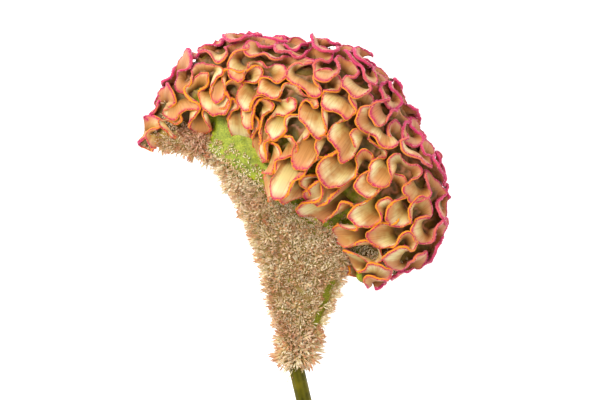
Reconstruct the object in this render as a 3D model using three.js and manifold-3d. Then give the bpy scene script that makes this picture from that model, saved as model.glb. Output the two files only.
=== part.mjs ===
// A cut cockscomb flower (Celosia cristata) lying on a flat surface.
// The bloom is a fan that widens from the stem and ends in a rounded crest.
// One long frill meanders over the whole crest, and small florets clothe the fan.
// Millimetres, +Z up. The fan lies parallel to the surface and the stem points to -Y.
import * as THREE from 'three';
import Module from 'manifold-3d';

const wasm = await Module();
wasm.setup();

const DEG = Math.PI / 180;

// Crest: a bent loaf whose axis is an arc round HUB, with nine stations from its left tip to its right.
const HUB = { x: -12.6, y: 65.7 };
const MID_HEIGHT = 28;
const STATION_FIRST_ANGLE = 150 * DEG;
const STATION_ANGLE_STEP = -23 * DEG;
const CREST_REACH = [68.4, 79.2, 88.6, 86.4, 89.4, 83.8, 85.2, 79.7, 54.0];
const LOAF_RADIUS = [3.2, 15.0, 27.0, 42.0, 46.0, 39.2, 35.0, 26.1, 4.5];
const LOAF_FLATNESS = 0.75;
const LAST_STATION = LOAF_RADIUS.length - 1;
const MID_STATION = LAST_STATION / 2;

// Frill: a ribbon whose foot winds over the loaf in a spiral and whose rim has grown longer than the foot.
const SPIRAL_TURNS = 7;
const SPIRAL_EDGE = 0.97;
const SPIRAL_PITCH = 0.15;
const TURN_WIDENS_FROM = 0.72;
const SPIRAL_SAMPLES = 20000;
const STATION_SPREAD = 0.985;
const TIP_EDGE_ANGLE = 122 * DEG;
const MIDDLE_EDGE_EXTRA = 12 * DEG;
const HANG_EXTRA = 28 * DEG;
const TIP_MARGIN = 0.05;
const SMALLEST_TIP_SHARE = 0.02;
const FOOT_STEP = 1.45;
const HALF_WAVE_LENGTH = 9;
const WAVE_HEIGHT = 4;
const LENGTH_VARIATION = 0.25;
const HEIGHT_VARIATION = 0.2;
const WAVE_STEPS = 5;
const RIM_GROWTH = 3.0;
const GROWTH_ROUNDS = 400;
const GROWTH_SHARE = 0.8;
const CLEAR_DISTANCE = 4.4;
const LIST_MARGIN = 1.5;
const LIST_EVERY = 5;
const NEIGHBOUR_SHARE = 1.5;
const STRETCH_FORCE = 0.45;
const BEND_FORCE = 0.1;
const CROWD_FORCE = 0.5;
const LARGEST_MOVE = 0.6;
const CHART_GRID = 1e-5;
const CHART_PROBE = 1e-3;
const CHART_STIFFNESS = 0.5;
const TINY = 1e-9;
const SEED = 7;
const FRILL_THICKNESS = 1.2;
const FRILL_DEPTH = 12.5;
const FRILL_DEPTH_SHARE = 0.6;
const FOOT_WAVE_SHARE = 0.2;
const FOOT_DROOP = 0.85;
const SEGMENTS_PER_PIECE = 40;

// Fan: the straight line between the two chord ends parts the florets from the green core.
const CHORD_LEFT = { x: -41.9, y: 99.4 };
const CHORD_RIGHT = { x: 26.1, y: 54.4 };
const CHORD_HALF_THICKNESS = 15;
const CHORD_ROUNDING = 0.9;
const CHORD_INSET = 1;
const CHORD_END_MARGIN = 0.04;
const NECK_HALF_THICKNESS = 4.5;
const FAN_LEFT_EDGE = [[-4.5, 0], [-13, 30.6], [-17.6, 50.9], [-26.1, 73.4], [-36.4, 91.4], [-41.9, 99.4]];
const FAN_RIGHT_EDGE = [[5.4, 0], [16.6, 26.1], [21.6, 39.6], [25.2, 49.5], [26.1, 54.4]];
const FLORET_ROWS = 20;
const FLORET_COLUMNS = 30;
const FLORET_HEIGHT = 2.2;
const CORE_SECTIONS = 22;
const CORE_SIDES = 20;
const CORE_RIB_HEIGHT = 0.5;
const FAN_COLUMNS = 12;
const FAN_LOW_SHARE = 0.78;
const FAN_HIGH_SHARE = 0.55;
const FAN_FIRST_STATION = 1.7;
const FAN_LAST_STATION = 6.3;
const SHOULDER_OUTLINE = [
  [-58, 104.5], [-56, 99.5], [-48, 98], [-42, 98.5], [-36, 93], [-33, 99], [-40, 112], [-52, 110.5],
];
const SHOULDER_HALF_THICKNESS = 2.2;

// Stem: a ribbed stalk with a plain cut, which slopes down to the surface.
const STEM_RADIUS = 3.3;
const STEM_RIB = 0.05;
const STEM_SIDES = 14;
const STEM_REST_CUT = 0.4;
const STEM_STEPS = 14;
const STEM_LENGTH = 80;
const STEM_LEAN = 14 * DEG;
const STEM_TOP = { x: 0.45, y: 4 };
const KNEE_SHARE = 0.35;
const KNEE_HEIGHT_SHARE = 0.8;
const CLEARANCE = 0.3;
const FOOT_CLEARANCE = 1.3;
const CUTTER_SIZE = 600;
const WELD_GRID = 1e-4;

// Uniform Catmull-Rom value of a table at station t.
function atStation(table, t) {
  const place = clamp(t, 0, LAST_STATION - TINY);
  const k = Math.floor(place);
  const u = place - k;
  const [a, b, c, d] = [k - 1, k, k + 1, k + 2].map((i) => table[clamp(i, 0, LAST_STATION)]);
  const square = 2 * a - 5 * b + 4 * c - d;
  const cube = 3 * b - a - 3 * c + d;
  return 0.5 * (2 * b + (c - a) * u + square * u * u + cube * u ** 3);
}

// Point of the crest at station t and angle phi round the loaf, depth below its outer skin.
function crestPoint(t, phi, depth = 0) {
  const angle = STATION_FIRST_ANGLE + STATION_ANGLE_STEP * t;
  const loaf = atStation(LOAF_RADIUS, t);
  const radius = loaf - depth;
  const reach = atStation(CREST_REACH, t) - loaf + radius * Math.cos(phi);
  const height = MID_HEIGHT + LOAF_FLATNESS * radius * Math.sin(phi);
  return [HUB.x + reach * Math.cos(angle), HUB.y + reach * Math.sin(angle), Math.max(height, 0)];
}

function frillDepth(t) {
  return Math.min(FRILL_DEPTH, FRILL_DEPTH_SHARE * atStation(LOAF_RADIUS, t));
}

const subtract = (a, b) => [a[0] - b[0], a[1] - b[1], a[2] - b[2]];
const dot = (a, b) => a[0] * b[0] + a[1] * b[1] + a[2] * b[2];
const scaled = (a, s) => [a[0] * s, a[1] * s, a[2] * s];
const cross = (a, b) => [a[1] * b[2] - a[2] * b[1], a[2] * b[0] - a[0] * b[2], a[0] * b[1] - a[1] * b[0]];
const unit = (a) => scaled(a, 1 / Math.sqrt(dot(a, a)));
const clamp = (value, low, high) => Math.min(Math.max(value, low), high);
const onGrid = (value) => Math.round(value / CHART_GRID) * CHART_GRID;

// Repeatable random numbers from 0 to 1.
function randomSource(seed) {
  let state = seed;
  return () => {
    state = (state + 0x6d2b79f5) >>> 0;
    let t = Math.imul(state ^ (state >>> 15), state | 1);
    t = (t ^ (t + Math.imul(t ^ (t >>> 7), t | 61))) >>> 0;
    return ((t ^ (t >>> 14)) >>> 0) / 4294967296;
  };
}

// A factor round 1, up to a share more or less.
function varied(random, share) {
  return 1 - share + 2 * share * random();
}

// Angle round the loaf at which the frill's outermost foot turn lies at station t.
function edgeAngle(t) {
  return TIP_EDGE_ANGLE + MIDDLE_EDGE_EXTRA * Math.sin((Math.PI * t) / LAST_STATION);
}

// The angle kept within the reach of the frill's hanging rim.
function hangLimited(t, phi) {
  const limit = edgeAngle(t) + HANG_EXTRA;
  return clamp(phi, -limit, limit);
}

// Chart place (t, phi) of the spiral after a number of turns from the middle of the crest.
function spiralPlace(turn) {
  const whole = Math.min(Math.floor(turn), SPIRAL_TURNS - 1);
  const part = clamp((turn - Math.floor(turn) - TURN_WIDENS_FROM) / (1 - TURN_WIDENS_FROM), 0, 1);
  const widened = part * part * (3 - 2 * part);
  const ring = SPIRAL_EDGE - SPIRAL_PITCH * (SPIRAL_TURNS - 1 - whole) + SPIRAL_PITCH * widened;
  const radius = Math.min(SPIRAL_EDGE, ring);
  const x = radius * Math.cos(2 * Math.PI * turn);
  const y = radius * Math.sin(2 * Math.PI * turn);
  const t = MID_STATION * (1 + STATION_SPREAD * x);
  return [t, hangLimited(t, (edgeAngle(t) * y) / Math.sqrt(Math.max(1 - x * x, SMALLEST_TIP_SHARE)))];
}

// The frill's foot line: the spiral in equal steps.
function footLine() {
  const places = [];
  const lengths = [0];
  for (let i = 0; i < SPIRAL_SAMPLES; i++) {
    places.push(spiralPlace((SPIRAL_TURNS * i) / (SPIRAL_SAMPLES - 1)));
    if (i > 0) {
      const gap = subtract(crestPoint(...places[i]), crestPoint(...places[i - 1]));
      lengths.push(lengths[i - 1] + Math.sqrt(dot(gap, gap)));
    }
  }
  const line = [];
  const count = Math.floor(lengths[SPIRAL_SAMPLES - 1] / FOOT_STEP);
  for (let i = 0, k = 0; i < count; i++) {
    const goal = i * FOOT_STEP;
    while (lengths[k + 1] < goal) k++;
    const share = (goal - lengths[k]) / (lengths[k + 1] - lengths[k]);
    const [from, to] = [places[k], places[k + 1]];
    line.push([0, 1].map((axis) => onGrid(from[axis] + share * (to[axis] - from[axis]))));
  }
  return line;
}

// Sideways offsets of the first gentle wave, each half wave with a length and height of its own.
function firstWave(count) {
  const random = randomSource(SEED);
  const offsets = new Array(count).fill(0);
  for (let i = 0, side = 1; i < count; side = -side) {
    const length = HALF_WAVE_LENGTH * varied(random, LENGTH_VARIATION);
    const steps = Math.floor(length / FOOT_STEP);
    const height = WAVE_HEIGHT * varied(random, HEIGHT_VARIATION);
    for (let k = 0; k < steps && i < count; k++, i++) {
      offsets[i] = side * height * Math.sin((Math.PI * k) / steps);
    }
  }
  return offsets;
}

// Chart tangents at a place, by central differences.
function tangents([t, phi]) {
  const e = CHART_PROBE;
  return [
    scaled(subtract(crestPoint(t + e, phi), crestPoint(t - e, phi)), 0.5 / e),
    scaled(subtract(crestPoint(t, phi + e), crestPoint(t, phi - e)), 0.5 / e),
  ];
}

// The place moved along the crest by a vector, which is first shortened to the longest move allowed.
function moved(place, vector, longest) {
  const [alongT, alongPhi] = tangents(place);
  const size = Math.sqrt(dot(vector, vector));
  const move = scaled(vector, Math.min(1, longest / Math.max(size, TINY)));
  const a = dot(alongT, alongT);
  const b = dot(alongT, alongPhi);
  const c = dot(alongPhi, alongPhi) + CHART_STIFFNESS;
  const f = dot(move, alongT);
  const g = dot(move, alongPhi);
  const det = a * c - b * b + TINY;
  const t = clamp(place[0] + (f * c - g * b) / det, TIP_MARGIN, LAST_STATION - TIP_MARGIN);
  return [onGrid(t), onGrid(hangLimited(t, place[1] + (a * g - b * f) / det))];
}

// Pairs of places that lie close on the crest but not next to each other along the rim.
function closePairs(points, skip) {
  const pairs = [];
  const limit = (CLEAR_DISTANCE + LIST_MARGIN) ** 2;
  for (let i = 0; i < points.length; i++) {
    for (let j = i + skip + 1; j < points.length; j++) {
      const gap = subtract(points[j], points[i]);
      if (dot(gap, gap) < limit) pairs.push([i, j]);
    }
  }
  return pairs;
}

function addTo(sum, vector, share) {
  sum[0] += vector[0] * share;
  sum[1] += vector[1] * share;
  sum[2] += vector[2] * share;
}

// The rim: the waved foot line, grown longer while it keeps clear of itself, until it fills the crest.
function rimLine(foot) {
  const count = foot.length;
  const wave = firstWave(count);
  const start = foot.map((place) => crestPoint(...place));
  let rim = foot;
  const sides = foot.map((place, i) => {
    const before = start[Math.max(i - 1, 0)];
    const after = start[Math.min(i + 1, count - 1)];
    return cross(unit(cross(...tangents(place))), unit(subtract(after, before)));
  });
  for (let step = 0; step < WAVE_STEPS; step++) {
    rim = rim.map((place, i) => moved(place, scaled(sides[i], wave[i] / WAVE_STEPS), WAVE_HEIGHT));
  }
  let pairs = [];
  for (let round = 0; round < GROWTH_ROUNDS; round++) {
    const share = Math.min(1, (round + 1) / (GROWTH_SHARE * GROWTH_ROUNDS));
    const rest = FOOT_STEP * (1 + (RIM_GROWTH - 1) * share);
    const points = rim.map((place) => crestPoint(...place));
    const forces = points.map(() => [0, 0, 0]);
    for (let i = 0; i + 1 < count; i++) {
      const gap = subtract(points[i + 1], points[i]);
      const size = Math.sqrt(dot(gap, gap));
      const pull = (STRETCH_FORCE * (size - rest)) / Math.max(size, TINY);
      addTo(forces[i], gap, pull);
      addTo(forces[i + 1], gap, -pull);
    }
    const bend = points.map((point, i) => {
      if (i === 0 || i === count - 1) return [0, 0, 0];
      return subtract(subtract(points[i - 1], point), subtract(point, points[i + 1]));
    });
    for (let i = 1; i + 1 < count; i++) {
      const change = subtract(subtract(bend[i - 1], bend[i]), subtract(bend[i], bend[i + 1]));
      addTo(forces[i], change, -BEND_FORCE);
    }
    if (round % LIST_EVERY === 0) {
      pairs = closePairs(points, Math.floor((NEIGHBOUR_SHARE * CLEAR_DISTANCE) / rest) + 1);
    }
    for (const [i, j] of pairs) {
      const gap = subtract(points[j], points[i]);
      const size = Math.sqrt(dot(gap, gap));
      if (size < CLEAR_DISTANCE) {
        const push = (CROWD_FORCE * (1 - size / CLEAR_DISTANCE)) / Math.max(size, TINY);
        addTo(forces[i], gap, -push);
        addTo(forces[j], gap, push);
      }
    }
    rim = rim.map((place, i) => moved(place, forces[i], LARGEST_MOVE));
  }
  return rim;
}

// A manifold solid from points and triangles, turned over if they face inward.
function solidFrom(points, triangles) {
  const volume = triangles.reduce((sum, [a, b, c]) => sum + dot(points[a], cross(points[b], points[c])), 0);
  const outward = volume > 0 ? triangles : triangles.map(([a, b, c]) => [a, c, b]);
  const mesh = new wasm.Mesh({
    numProp: 3,
    vertProperties: Float32Array.from(points.flat()),
    triVerts: Uint32Array.from(outward.flat()),
  });
  return new wasm.Manifold(mesh);
}

// A loft through closed rings of equal count, with a centre point at each end.
// The crown function gives the raised middle point of a cell.
function loft(rings, crown = null) {
  const sides = rings[0].length;
  const points = rings.flat();
  const triangles = [];
  for (let r = 0; r + 1 < rings.length; r++) {
    for (let s = 0; s < sides; s++) {
      const a = r * sides + s;
      const b = r * sides + ((s + 1) % sides);
      const corners = [a, b, b + sides, a + sides];
      if (crown) {
        points.push(crown(r, s));
        corners.forEach((corner, i) => triangles.push([corner, corners[(i + 1) % 4], points.length - 1]));
      } else {
        triangles.push([a, b, b + sides], [a, b + sides, a + sides]);
      }
    }
  }
  const capStart = points.length;
  const middle = (ring) => [0, 1, 2].map((axis) => ring.reduce((sum, p) => sum + p[axis], 0) / sides);
  points.push(middle(rings[0]), middle(rings[rings.length - 1]));
  const last = (rings.length - 1) * sides;
  for (let s = 0; s < sides; s++) {
    const next = (s + 1) % sides;
    triangles.push([next, s, capStart], [last + s, last + next, capStart + 1]);
  }
  return solidFrom(points, triangles);
}

// A three.js solid shape as a manifold solid.
function solidFromGeometry(geometry) {
  const position = geometry.getAttribute('position');
  const known = new Map();
  const points = [];
  const order = [];
  for (let i = 0; i < position.count; i++) {
    const point = [position.getX(i), position.getY(i), position.getZ(i)];
    const key = point.map((value) => Math.round(value / WELD_GRID)).join(' ');
    if (!known.has(key)) {
      known.set(key, points.length);
      points.push(point);
    }
    order.push(known.get(key));
  }
  const corners = geometry.index ? Array.from(geometry.index.array, (i) => order[i]) : order;
  const triangles = [];
  for (let i = 0; i < corners.length; i += 3) triangles.push(corners.slice(i, i + 3));
  return solidFrom(points, triangles);
}

function box(width, depth, height, x, y, z) {
  return solidFromGeometry(new THREE.BoxGeometry(width, depth, height).translate(x, y, z));
}

// Everything above the surface that the flower lies on.
function aboveSurface(solid) {
  return solid.subtract(box(CUTTER_SIZE, CUTTER_SIZE, CUTTER_SIZE, 0, 0, -CUTTER_SIZE / 2));
}

function crestFrill() {
  const foot = footLine();
  const rim = rimLine(foot);
  const rimPoints = rim.map((place) => crestPoint(...place));
  const footPoints = foot.map(([t, phi], i) => {
    const footT = t + FOOT_WAVE_SHARE * (rim[i][0] - t);
    const footPhi = FOOT_DROOP * (phi + FOOT_WAVE_SHARE * (rim[i][1] - phi));
    return crestPoint(footT, footPhi, frillDepth(footT));
  });
  const count = foot.length;
  const section = (i) => {
    const up = subtract(rimPoints[i], footPoints[i]);
    const aside = (line) => {
      const along = subtract(line[Math.min(i + 1, count - 1)], line[Math.max(i - 1, 0)]);
      return scaled(unit(cross(along, up)), FRILL_THICKNESS / 2);
    };
    const rimSide = aside(rimPoints);
    const footSide = aside(footPoints);
    const add = (a, b, sign) => [a[0] + sign * b[0], a[1] + sign * b[1], a[2] + sign * b[2]];
    return [
      add(footPoints[i], footSide, -1),
      add(footPoints[i], footSide, 1),
      add(rimPoints[i], rimSide, 1),
      add(rimPoints[i], rimSide, -1),
    ];
  };
  const pieces = [];
  for (let first = 0; first + 1 < count; first += SEGMENTS_PER_PIECE) {
    const last = Math.min(first + SEGMENTS_PER_PIECE, count - 1);
    const points = [];
    for (let i = first; i <= last; i++) points.push(...section(i));
    const triangles = [[0, 1, 2], [0, 2, 3]];
    for (let k = 0; k < last - first; k++) {
      const a = 4 * k;
      triangles.push([a + 1, a, a + 4], [a + 1, a + 4, a + 5]);
      triangles.push([a + 3, a + 2, a + 6], [a + 3, a + 6, a + 7]);
      triangles.push([a + 2, a + 1, a + 6], [a + 1, a + 5, a + 6]);
      triangles.push([a, a + 3, a + 7], [a, a + 7, a + 4]);
    }
    const end = 4 * (last - first);
    triangles.push([end, end + 2, end + 1], [end, end + 3, end + 2]);
    pieces.push(solidFrom(points, triangles));
  }
  return aboveSurface(wasm.Manifold.union(pieces));
}

// The loaf under the frill, drawn in by the frill's depth and raised in fine ribs.
function loaf(grown) {
  const rings = [];
  for (let i = 0; i <= CORE_SECTIONS; i++) {
    const t = TIP_MARGIN + ((LAST_STATION - 2 * TIP_MARGIN) * i) / CORE_SECTIONS;
    const rib = i % 2 === 0 ? 0 : CORE_RIB_HEIGHT;
    const depth = frillDepth(t) + FOOT_CLEARANCE + rib - grown;
    const ring = [];
    for (let k = 0; k < CORE_SIDES; k++) ring.push(crestPoint(t, (2 * Math.PI * k) / CORE_SIDES, depth));
    rings.push(ring);
  }
  return loft(rings);
}

// Half thickness of the fan along its chord, from 0 at the left end to 1 at the right.
function chordHalfThickness(share) {
  return CHORD_HALF_THICKNESS * Math.sqrt(1 - CHORD_ROUNDING * (2 * share - 1) ** 2);
}

// The green part of the fan, between the chord and the loaf's axis.
function greenFan(grown) {
  const along = { x: CHORD_RIGHT.x - CHORD_LEFT.x, y: CHORD_RIGHT.y - CHORD_LEFT.y };
  const length = Math.hypot(along.x, along.y);
  const up = { x: -along.y / length, y: along.x / length };
  const rings = [];
  for (let i = 0; i <= FAN_COLUMNS; i++) {
    const share = CHORD_END_MARGIN + ((1 - 2 * CHORD_END_MARGIN) * i) / FAN_COLUMNS;
    const t = FAN_FIRST_STATION + (FAN_LAST_STATION - FAN_FIRST_STATION) * share;
    const axis = crestPoint(t, 0, atStation(LOAF_RADIUS, t));
    const loafHalf = LOAF_FLATNESS * (atStation(LOAF_RADIUS, t) - frillDepth(t));
    const low = Math.min(chordHalfThickness(share) - CHORD_INSET, FAN_LOW_SHARE * loafHalf) + grown;
    const high = FAN_HIGH_SHARE * loafHalf;
    const lift = CLEARANCE - grown;
    const x = CHORD_LEFT.x + along.x * share + up.x * lift;
    const y = CHORD_LEFT.y + along.y * share + up.y * lift;
    rings.push([
      [x, y, MID_HEIGHT - low],
      [axis[0], axis[1], MID_HEIGHT - high],
      [axis[0], axis[1], MID_HEIGHT + high],
      [x, y, MID_HEIGHT + low],
    ]);
  }
  return loft(rings);
}

function greenCore() {
  return loaf(0).add(greenFan(0));
}

// Point of the floret cone: u runs from the neck to the chord, angle goes round it.
function conePoint(leftEdge, rightEdge, u, angle, sink) {
  const left = leftEdge.getPoint(u);
  const right = rightEdge.getPoint(u);
  const half = Math.hypot(right.x - left.x, right.y - left.y) / 2;
  const across = { x: (right.x - left.x) / 2 / half, y: (right.y - left.y) / 2 / half };
  const wide = (half - sink) * Math.cos(angle);
  const thick = NECK_HALF_THICKNESS + (CHORD_HALF_THICKNESS - NECK_HALF_THICKNESS) * u - sink;
  const x = (left.x + right.x) / 2 + across.x * wide;
  const y = (left.y + right.y) / 2 + across.y * wide;
  return [x, y, MID_HEIGHT + thick * Math.sin(angle)];
}

// The part of the fan that florets cover, each floret raised as a small point.
function floretCone() {
  const curve = (edge) => new THREE.CatmullRomCurve3(edge.map(([x, y]) => new THREE.Vector3(x, y, 0)));
  const leftEdge = curve(FAN_LEFT_EDGE);
  const rightEdge = curve(FAN_RIGHT_EDGE);
  const rings = [];
  for (let r = 0; r <= FLORET_ROWS; r++) {
    const ring = [];
    for (let c = 0; c < FLORET_COLUMNS; c++) {
      const turn = (c + 0.5 * (r % 2)) / FLORET_COLUMNS;
      ring.push(conePoint(leftEdge, rightEdge, r / FLORET_ROWS, 2 * Math.PI * turn, FLORET_HEIGHT));
    }
    rings.push(ring);
  }
  const crown = (r, s) => {
    const turn = (s + 0.5 * (r % 2) + 0.5) / FLORET_COLUMNS;
    return conePoint(leftEdge, rightEdge, (r + 0.5) / FLORET_ROWS, 2 * Math.PI * turn, 0);
  };
  const shape = new THREE.Shape(SHOULDER_OUTLINE.map(([x, y]) => new THREE.Vector2(x, y)));
  const thickness = 2 * SHOULDER_HALF_THICKNESS;
  const extruded = new THREE.ExtrudeGeometry(shape, { depth: thickness, bevelEnabled: false });
  extruded.translate(0, 0, MID_HEIGHT - SHOULDER_HALF_THICKNESS);
  const shoulder = solidFromGeometry(extruded);
  return loft(rings, crown).add(shoulder).subtract(loaf(CLEARANCE)).subtract(greenFan(CLEARANCE));
}

// The ribbed stem from just below the neck to its plain cut on the surface.
function stem() {
  const reach = STEM_LENGTH * Math.sin(STEM_LEAN);
  const drop = STEM_LENGTH * Math.cos(STEM_LEAN);
  const { x, y } = STEM_TOP;
  const neck = new THREE.Vector3(x, y, MID_HEIGHT);
  const knee = new THREE.Vector3(x + reach * KNEE_SHARE, -drop * KNEE_SHARE, MID_HEIGHT * KNEE_HEIGHT_SHARE);
  const cut = new THREE.Vector3(x + reach, -drop, STEM_RADIUS - STEM_REST_CUT);
  const line = new THREE.QuadraticBezierCurve3(neck, knee, cut);
  const rings = [];
  for (let i = 0; i <= STEM_STEPS; i++) {
    const centre = line.getPoint(i / STEM_STEPS);
    const along = line.getTangent(i / STEM_STEPS);
    const across = new THREE.Vector3(0, 0, 1).cross(along).normalize();
    const up = along.clone().cross(across);
    const ring = [];
    for (let k = 0; k < STEM_SIDES; k++) {
      const angle = (2 * Math.PI * k) / STEM_SIDES;
      const radius = STEM_RADIUS * (1 + STEM_RIB * (k % 2 === 0 ? 1 : -1));
      const point = centre.clone();
      point.addScaledVector(across, radius * Math.cos(angle)).addScaledVector(up, radius * Math.sin(angle));
      ring.push(point.toArray());
    }
    rings.push(ring);
  }
  const aboveNeck = box(CUTTER_SIZE, CUTTER_SIZE, CUTTER_SIZE, 0, CUTTER_SIZE / 2 - CLEARANCE, 0);
  return aboveSurface(loft(rings).subtract(aboveNeck));
}

function namedMesh(name, solid, color, roughness) {
  const { numProp, vertProperties, triVerts } = solid.getMesh();
  const geometry = new THREE.BufferGeometry();
  const position = new Float32Array((vertProperties.length / numProp) * 3);
  for (let i = 0; i < position.length; i++) {
    position[i] = vertProperties[Math.floor(i / 3) * numProp + (i % 3)];
  }
  geometry.setAttribute('position', new THREE.BufferAttribute(position, 3));
  geometry.setIndex(new THREE.BufferAttribute(new Uint32Array(triVerts), 1));
  geometry.computeVertexNormals();
  const mesh = new THREE.Mesh(geometry, new THREE.MeshStandardMaterial({ color, roughness, metalness: 0 }));
  mesh.name = name;
  return mesh;
}

const flower = new THREE.Group();
flower.add(namedMesh('stem', stem(), 0x5e5614, 0.6));
flower.add(namedMesh('floret_cone', floretCone(), 0xb69465, 0.8));
flower.add(namedMesh('green_core', greenCore(), 0x96b91e, 0.6));
flower.add(namedMesh('crest_frill', crestFrill(), 0xd8905c, 0.5));

// The origin is on the surface, below the middle of the whole flower.
const bounds = new THREE.Box3().setFromObject(flower);
flower.position.set(-(bounds.min.x + bounds.max.x) / 2, -(bounds.min.y + bounds.max.y) / 2, -bounds.min.z);

export default flower;
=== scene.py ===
"""Looks of a cut cockscomb flower that lies on its side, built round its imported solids.

Shapes are worked out in millimetres from the flower's neck, where the stem meets the bloom.
The function in_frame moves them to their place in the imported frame, in metres.
Lengths among the values are in millimetres and angles in radians, where nothing else is said.
"""

import math

import bpy
import numpy as np
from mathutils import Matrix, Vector, noise


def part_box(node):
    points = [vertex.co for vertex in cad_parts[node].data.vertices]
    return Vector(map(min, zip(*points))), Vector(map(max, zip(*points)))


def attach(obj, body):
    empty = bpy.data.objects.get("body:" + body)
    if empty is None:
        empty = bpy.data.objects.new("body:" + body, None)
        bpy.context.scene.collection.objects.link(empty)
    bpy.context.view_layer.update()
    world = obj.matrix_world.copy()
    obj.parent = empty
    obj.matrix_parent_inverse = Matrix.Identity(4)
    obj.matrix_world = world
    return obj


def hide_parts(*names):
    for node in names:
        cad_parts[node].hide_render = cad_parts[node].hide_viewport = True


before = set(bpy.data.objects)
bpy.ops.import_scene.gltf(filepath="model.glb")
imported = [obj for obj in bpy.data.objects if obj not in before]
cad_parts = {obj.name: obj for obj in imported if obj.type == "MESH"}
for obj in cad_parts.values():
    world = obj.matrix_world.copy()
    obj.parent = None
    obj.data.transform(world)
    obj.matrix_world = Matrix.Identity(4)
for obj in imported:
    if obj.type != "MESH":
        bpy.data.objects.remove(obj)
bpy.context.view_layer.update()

BODY = "root"
MM = 0.001
DEG = math.pi / 180
TINY = 1e-9

# Place of the neck in the frame, from the stem's top and left edge.
STEM_TOP_BELOW_NECK = 0.3
STEM_LEFT_OF_NECK = 1.8171
stem_low, stem_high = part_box("stem")
NECK = np.array([stem_low.x / MM + STEM_LEFT_OF_NECK, stem_high.y / MM + STEM_TOP_BELOW_NECK, 0.0])

# Crest: a bent loaf whose axis is an arc round HUB, with nine stations from its left tip to its right.
HUB = np.array([-12.6, 65.7])
MID_HEIGHT = 28.0
STATION_FIRST_ANGLE = 150 * DEG
STATION_ANGLE_STEP = -23 * DEG
CREST_REACH = np.array([68.4, 79.2, 88.6, 86.4, 89.4, 83.8, 85.2, 79.7, 54.0])
LOAF_RADIUS = np.array([3.2, 15.0, 27.0, 42.0, 46.0, 39.2, 35.0, 26.1, 4.5])
LOAF_FLATNESS = 0.75
LAST_STATION = len(LOAF_RADIUS) - 1
MID_STATION = LAST_STATION / 2

# Frill: a ribbon whose foot winds over the loaf in a spiral and whose rim has grown longer than the foot.
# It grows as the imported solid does, with one turn more, and its rim curls up into round loops.
SPIRAL_TURNS = 8
SPIRAL_EDGE = 0.97
SPIRAL_PITCH = 0.1286
TURN_WIDENS_FROM = 0.72
SPIRAL_SAMPLES = 20000
STATION_SPREAD = 0.985
TIP_EDGE_ANGLE = 122 * DEG
MIDDLE_EDGE_EXTRA = 12 * DEG
HANG_EXTRA = 28 * DEG
TIP_MARGIN = 0.05
SMALLEST_TIP_SHARE = 0.02
FOOT_STEP = 1.45
HALF_WAVE_LENGTH = 10
WAVE_HEIGHT = 4.5
LENGTH_VARIATION = 0.25
HEIGHT_VARIATION = 0.2
WAVE_STEPS = 5
RIM_GROWTH = 3.2
GROWTH_ROUNDS = 400
GROWTH_SHARE = 0.8
CLEAR_DISTANCE = 2.8
LOOP_RADIUS = 6.0
LOOP_SOFTNESS = 0.15
LIST_MARGIN = 1.5
LIST_EVERY = 5
NEIGHBOUR_SHARE = 1.5
STRETCH_FORCE = 0.45
BEND_FORCE = 0.12
CROWD_FORCE = 1.4
LARGEST_MOVE = 0.7
CHART_GRID = 1e-5
CHART_PROBE = 1e-3
CHART_STIFFNESS = 0.5
GROWTH_SEED = 21
FRILL_DEPTH = 12.5
FRILL_DEPTH_SHARE = 0.6
FOOT_WAVE_SHARE = 0.2
FOOT_DROOP = 0.85

# The frill's fine shape. Names that end in WAVES hold a wave length in millimetres and a seed.
COLUMNS_PER_NODE = 4
ROUNDING_MADE_GOOD = 0.16
FRILL_ROWS = np.array([0.0, 0.18, 0.35, 0.5, 0.64, 0.76, 0.86, 0.94, 1.0])
WALL_THICKNESS = 0.8
RIM_THICKNESS = 1.1
THICKENS_FROM = 0.75
RIM_ARC = np.array([168, 130, 90, 50, 12]) * DEG
FLARE = 2.0
LIP = 0.5
ROOT_DEPTH_SHARE = 1.1
RIM_SINK = 2.6
RIM_SINK_WAVES = (11, 3)
RIM_STANDS_OUT = 1.0
LOBE_REACH = 6.0
LOBE_CONSTANCY = 0.7
LOBE_WAVES = (40, 4)
CREST_LINE_HALF_ANGLE = 0.35
LOBE_OVERHANG = 3.3
LOBE_SINK = 5.2
ROW_SMOOTHING = 27
EDGE_FROM = 85 * DEG
EDGE_TO = 130 * DEG
EDGE_OVERHANG = 2.2
EDGE_LIFT = 5.5
EDGE_LIFT_RADIUS = 40
SCALLOP = 1.3
SCALLOP_WAVES = (6.0, 8)
SCALLOP_FROM = 2.5
RIPPLE = 0.8
RIPPLE_WAVES = (2.6, 5)
RIPPLE_FROM = 6
CRINKLE = 0.6
CRINKLE_WAVES = (1.8, 6)
SIDE_BUMPS = 2.2
SIDE_BUMP_WAVES = (17, 7)
FRILL_PIECES = 2
BULGE_SMOOTHING = 5
RIM_RISE = 0.1
WANDER_STEPS = 8
WANDER_GAIN = 1.5
NOISE_SHIFT = (17.3, 5.1, 9.7)

# Fan: a straight chord parts the florets from the green flesh.
CHORD_LEFT = np.array([-41.9, 99.4])
CHORD_RIGHT = np.array([26.1, 54.4])
CHORD_HALF_THICKNESS = 15
NECK_HALF_THICKNESS = 4.5
FAN_LEFT_EDGE = [(-4.5, 0), (-13, 30.6), (-17.6, 50.9), (-26.1, 73.4), (-36.4, 91.4), (-41.9, 99.4)]
FAN_RIGHT_EDGE = [(5.4, 0), (16.6, 26.1), (21.6, 39.6), (25.2, 49.5), (26.1, 54.4)]
FAN_ROOT = np.array([0.45, -25, MID_HEIGHT])
DOWN = np.array([0, -1.0, 0])
FLORET_HEIGHT = 2.2
FAN_ROWS = 40
FAN_SIDES = 48
SHOULDER_LINE = [(-66, 102), (-59, 103), (-50, 103.5), (-42, 102), (-35, 97)]
SHOULDER_WIDTHS = [1.6, 3.8, 5.6, 6.8, 5.2]
SHOULDER_HALF_THICKNESS = 5.0
SHOULDER_SIDES = 16
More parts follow.
